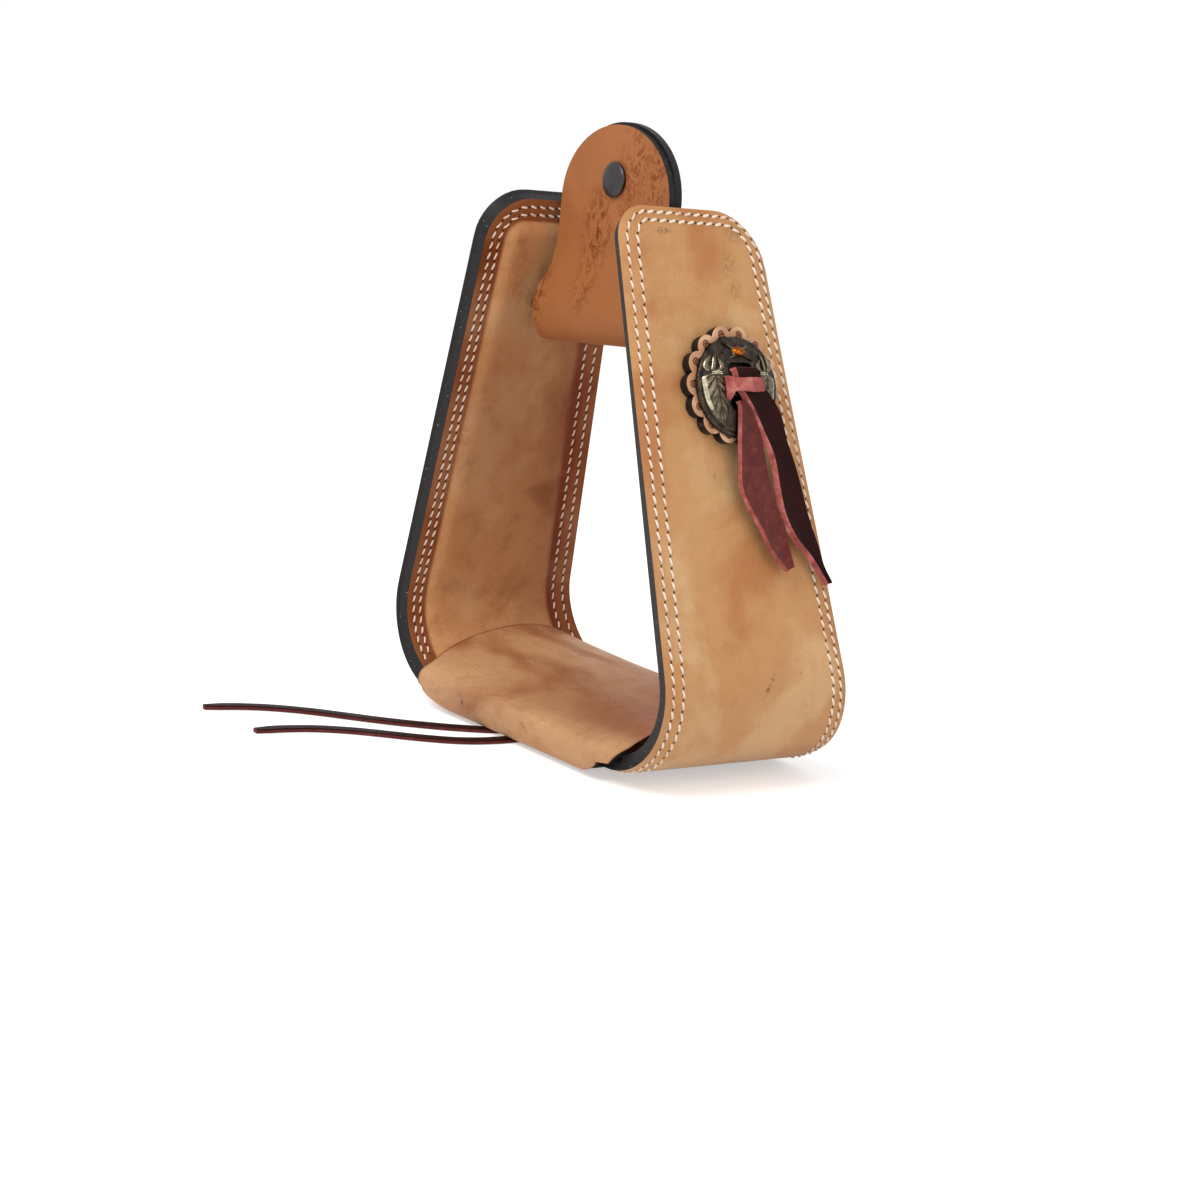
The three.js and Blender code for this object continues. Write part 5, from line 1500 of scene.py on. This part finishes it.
    def bands(self, metal):
        """The little tied band between petals and feather, on both sides."""
        points, faces, steps = [], [], 14
        for side in (-1, 1):
            for level in (4.4, 5.1):
                start = len(points)
                for u in (k / steps for k in range(steps + 1)):
                    x = side * lerp(13.6, 9.2, u)
                    y = level + 0.35 * math.sin(math.pi * u)
                    z = dome(math.hypot(x, y)) + 0.5
                    points += [concho_point(x, y + 0.32 * c, z + 0.35 * s) for c, s in circle(6)]
                faces += sleeve(start, steps + 1, 6)
                faces += [[start + end + j for j in range(6)] for end in (0, steps * 6)]
        return new_piece("feather_bands", points, faces, [metal])

    def star(self, metal):
        corners = [(6.4, 3.1), (0, 1.9), (-6.4, 3.1), (-3.2, 0), (-6.4, -3.4), (0, -2.1),
                   (6.4, -3.4), (3.2, 0)]
        outline = []
        for (x, y), (nx, ny) in zip(corners, corners[1:] + corners[:1]):
            for t in (0, 0.25, 0.5, 0.75):
                bow = 1 - 0.35 * math.sin(math.pi * t)
                outline.append((lerp(x, nx, t) * bow, lerp(y, ny, t) * bow + 0.1))
        rings = ((1.0, -0.1), (1.0, 0.45), (0.9, 0.75), (0.62, 0.75), (0.5, 0.45), (0.2, 0.4))
        points = [on_dome(x * share, STAR_HEIGHT + y * share, lift)
                  for share, lift in rings for x, y in outline]
        count = len(outline)
        faces = sleeve(0, len(rings), count)
        faces += [list(range(count)), [5 * count + k for k in range(count)]]
        return new_piece("star", points, faces, [metal], None, 40)

    def bead(self, metal):
        seat = dome(STAR_HEIGHT) + 0.3
        profile = [(0, seat - 0.3), (2.0, seat - 0.3), (2.05, seat + 0.2), (1.8, seat + 0.5)]
        profile += [(1.7 * math.cos(t), seat + 0.45 + 1.5 * math.sin(t))
                    for t in np.linspace(0.15, math.pi / 2 - 0.05, 9)]
        profile.append((0, seat + 1.95))
        turned = lathe(profile, 40, lambda a, b, h: concho_point(a * 1.55, STAR_HEIGHT + b, h),
                       False)
        return new_piece("bead", *turned, [metal])


# The tie's two tails in shares of their length: forward edge, back edge and height
LONG_TAIL = [(-0.055, 0.085, 0.07, 0.085, 0.068), (-0.052, 0.058, 0.076, 0.058, 0.0745),
             (-0.04, 0.0, 0.1, -0.005, 0.0745), (-0.026, -0.024, 0.135, -0.044, 0.076),
             (0.026, -0.096, 0.192, -0.132, 0.073), (0.094, -0.21, 0.228, -0.248, 0.058),
             (0.158, -0.324, 0.28, -0.362, 0.042), (0.19, -0.458, 0.325, -0.478, 0.026),
             (0.222, -0.591, 0.368, -0.612, 0.012), (0.289, -0.706, 0.424, -0.746, 0),
             (0.386, -0.805, 0.458, -0.846, -0.008), (0.481, -0.934, 0.508, -0.929, -0.015)]
SHORT_TAIL = [(-0.052, -0.082, -0.015, -0.082, 0.077), (-0.04, -0.128, 0.026, -0.122, 0.075),
              (-0.037, -0.26, 0.1, -0.256, 0.05), (-0.036, -0.389, 0.124, -0.367, 0.035),
              (-0.036, -0.517, 0.148, -0.497, 0.024), (0.003, -0.626, 0.188, -0.629, 0.018),
              (0.083, -0.757, 0.227, -0.737, 0.01), (0.149, -0.877, 0.267, -0.847, 0.004),
              (0.252, -0.99, 0.296, -0.969, 0)]


class STIRRUP_OT_tie(bpy.types.Operator):
    """Ties the latigo string through the concho, with its band and two tails"""

    bl_idname = "stirrup.tie"
    bl_label = "Concho tie"

    def execute(self, context):
        grain, flesh, rose = latigo_grain(), latigo_suede(), tie_suede()
        long_tail = self.tail("tie_long", LONG_TAIL, 80, [grain, flesh, rose], 1.3)
        settle(long_tail, "frame", "concho_tail_long")
        short_tail = self.tail("tie_short", SHORT_TAIL, 70, [flesh, grain, rose], 0.3)
        settle(short_tail, "frame", "concho_tail_short")
        band = sheet_piece("tie_band", *two_nets(40, 9, self.band_place), [rose, grain, rose],
                           0.0004)
        settle(band, "frame", "concho_tie_band")
        return {"FINISHED"}

    def tail(self, name, shares, length, materials, slant):
        """A strap between two edge lines; slant is how far its front edge is cut out."""
        left = [(x, y, z) for x, y, _, _, z in shares]
        right = [(x, y, z) for _, _, x, y, z in shares]

        def place(t, across, side):
            a, b = curve_at(left, t), curve_at(right, t)
            x, y, z = (a + (b - a) * across) * length
            cupped = (2 * across - 1) ** 2 * smooth(t)
            ripple = 0.18 * math.sin(9 * t + 4 * across) * smooth(t * 3)
            ragged = slant * (1 + 0.25 * math.sin(61 * t) * math.sin(23 * t))
            out = ragged * (side < 0) * max(1 - across * 5, 0)
            return concho_point(x - out, y - out * 0.4, CONCHO_SEAT + z + side + cupped + ripple)

        return sheet_piece(name, *two_nets(64, 11, place), materials, 0.0004)

    def band_place(self, t, across, side):
        """A point of the crossing band, which turns up beside the slots and over the tail."""
        low = dome(0) + 3
        spine = [(-7.4, CONCHO_SEAT + 3.2), (-7.3, low - 1.4), (-6.7, low + 0.5), (-4.6, low + 1.2),
                 (-1, low + 1.25), (3, low + 1.1), (6.2, low + 0.4), (7, low - 0.9)]
        x, z = curve_at(spine, t)
        dx, dz = curve_at(spine, min(t + 0.02, 1)) - curve_at(spine, max(t - 0.02, 0))
        out = side * 0.95 / math.hypot(dx, dz)
        full = smooth(t / 0.3)
        y = (2 * across - 1) * lerp(4.6, 2.5, full) * (1 + 0.05 * math.sin(11 * t))
        return concho_point(x - dz * out, y - 0.9 * (1 - full), z + dx * out)


def seen_directly(tree):
    """1 for rays from the camera and those off or through something clear, 0 for light."""
    ray = node(tree, "LightPath").outputs
    seen = node(tree, "Math", {0: ray["Is Camera Ray"], 1: ray["Is Glossy Ray"]},
                operation="MAXIMUM").outputs[0]
    return node(tree, "Math", {0: seen, 1: ray["Is Transmission Ray"]},
                operation="MAXIMUM").outputs[0]


class STIRRUP_OT_stage(bpy.types.Operator):
    """Sets a white floor, a soft key light and an even sky"""

    bl_idname = "stirrup.stage"
    bl_label = "Stage"

    def execute(self, context):
        bpy.ops.mesh.primitive_circle_add(vertices=96, radius=4, fill_type="NGON",
                                          location=(0, 0, -0.0002))
        floor = context.object
        floor.name = "floor"
        # White card, matt; the camera and glossy rays see it a little over its shadow tone
        card, tree, shader = new_material("matt white card", Roughness=0.9,
                                          Specular_IOR_Level=0.0, Base_Color=(0.9, 0.9, 0.9),
                                          Emission_Color=(1, 1, 1))
        glow = node(tree, "Math", {0: seen_directly(tree), 1: 0.45}, operation="MULTIPLY")
        feed(shader, Emission_Strength=glow.outputs[0])
        floor.data.materials.append(card)
        world = context.scene.world or bpy.data.worlds.new("sky")
        context.scene.world = world
        world.use_nodes = True
        tree = world.node_tree
        sky = tree.nodes["Background"]
        sky.inputs["Color"].default_value = (1, 1, 1, 1)
        level = node(tree, "MapRange", {"Value": seen_directly(tree), "To Min": 0.62,
                                        "To Max": 1.0})
        feed(sky, Strength=level.outputs["Result"])
        for name, place, energy, width in (("key", (0.25, -1.25, 1.35), 17, 0.9),
                                           ("fill", (1.5, -0.1, 0.7), 5, 1.2)):
            lamp = bpy.data.lights.new(name, "AREA")
            lamp.energy, lamp.size = energy, width
            shown = bpy.data.objects.new(name, lamp)
            shown.location = place
            aim = Vector((0, 0, 0.11)) - Vector(place)
            shown.rotation_mode = "QUATERNION"
            shown.rotation_quaternion = aim.to_track_quat("-Z", "Y")
            context.scene.collection.objects.link(shown)
        context.scene.view_settings.view_transform = "Standard"
        return {"FINISHED"}


OPERATORS = (STIRRUP_OT_camera, STIRRUP_OT_lace_tails, STIRRUP_OT_cover, STIRRUP_OT_liner,
             STIRRUP_OT_tread, STIRRUP_OT_lacing, STIRRUP_OT_bar, STIRRUP_OT_tab,
             STIRRUP_OT_concho, STIRRUP_OT_tie, STIRRUP_OT_stage)


class STIRRUP_PT_panel(bpy.types.Panel):
    """Lists the stirrup's pieces in the order in which they are made"""

    bl_idname = "STIRRUP_PT_panel"
    bl_label = "Slanted Stirrup"
    bl_space_type = "VIEW_3D"
    bl_region_type = "UI"
    bl_category = "Stirrup"

    def draw(self, context):
        for operator in OPERATORS:
            self.layout.operator(operator.bl_idname)
        for group in (context.scene.stirrup_sizes, context.scene.stirrup_colours):
            column = self.layout.column()
            for name in group.bl_rna.properties.keys():
                if name not in ("rna_type", "name"):
                    column.prop(group, name)


CLASSES = (StirrupSizes, StirrupColours, *OPERATORS, STIRRUP_PT_panel)


def register():
    for cls in CLASSES:
        bpy.utils.register_class(cls)
    bpy.types.Scene.stirrup_sizes = bpy.props.PointerProperty(type=StirrupSizes)
    bpy.types.Scene.stirrup_colours = bpy.props.PointerProperty(type=StirrupColours)


def unregister():
    del bpy.types.Scene.stirrup_sizes
    del bpy.types.Scene.stirrup_colours
    for cls in reversed(CLASSES):
        bpy.utils.unregister_class(cls)


def main():
    register()
    for operator in OPERATORS:
        module, name = operator.bl_idname.split(".")
        getattr(getattr(bpy.ops, module), name)()


if __name__ == "__main__":
    main()
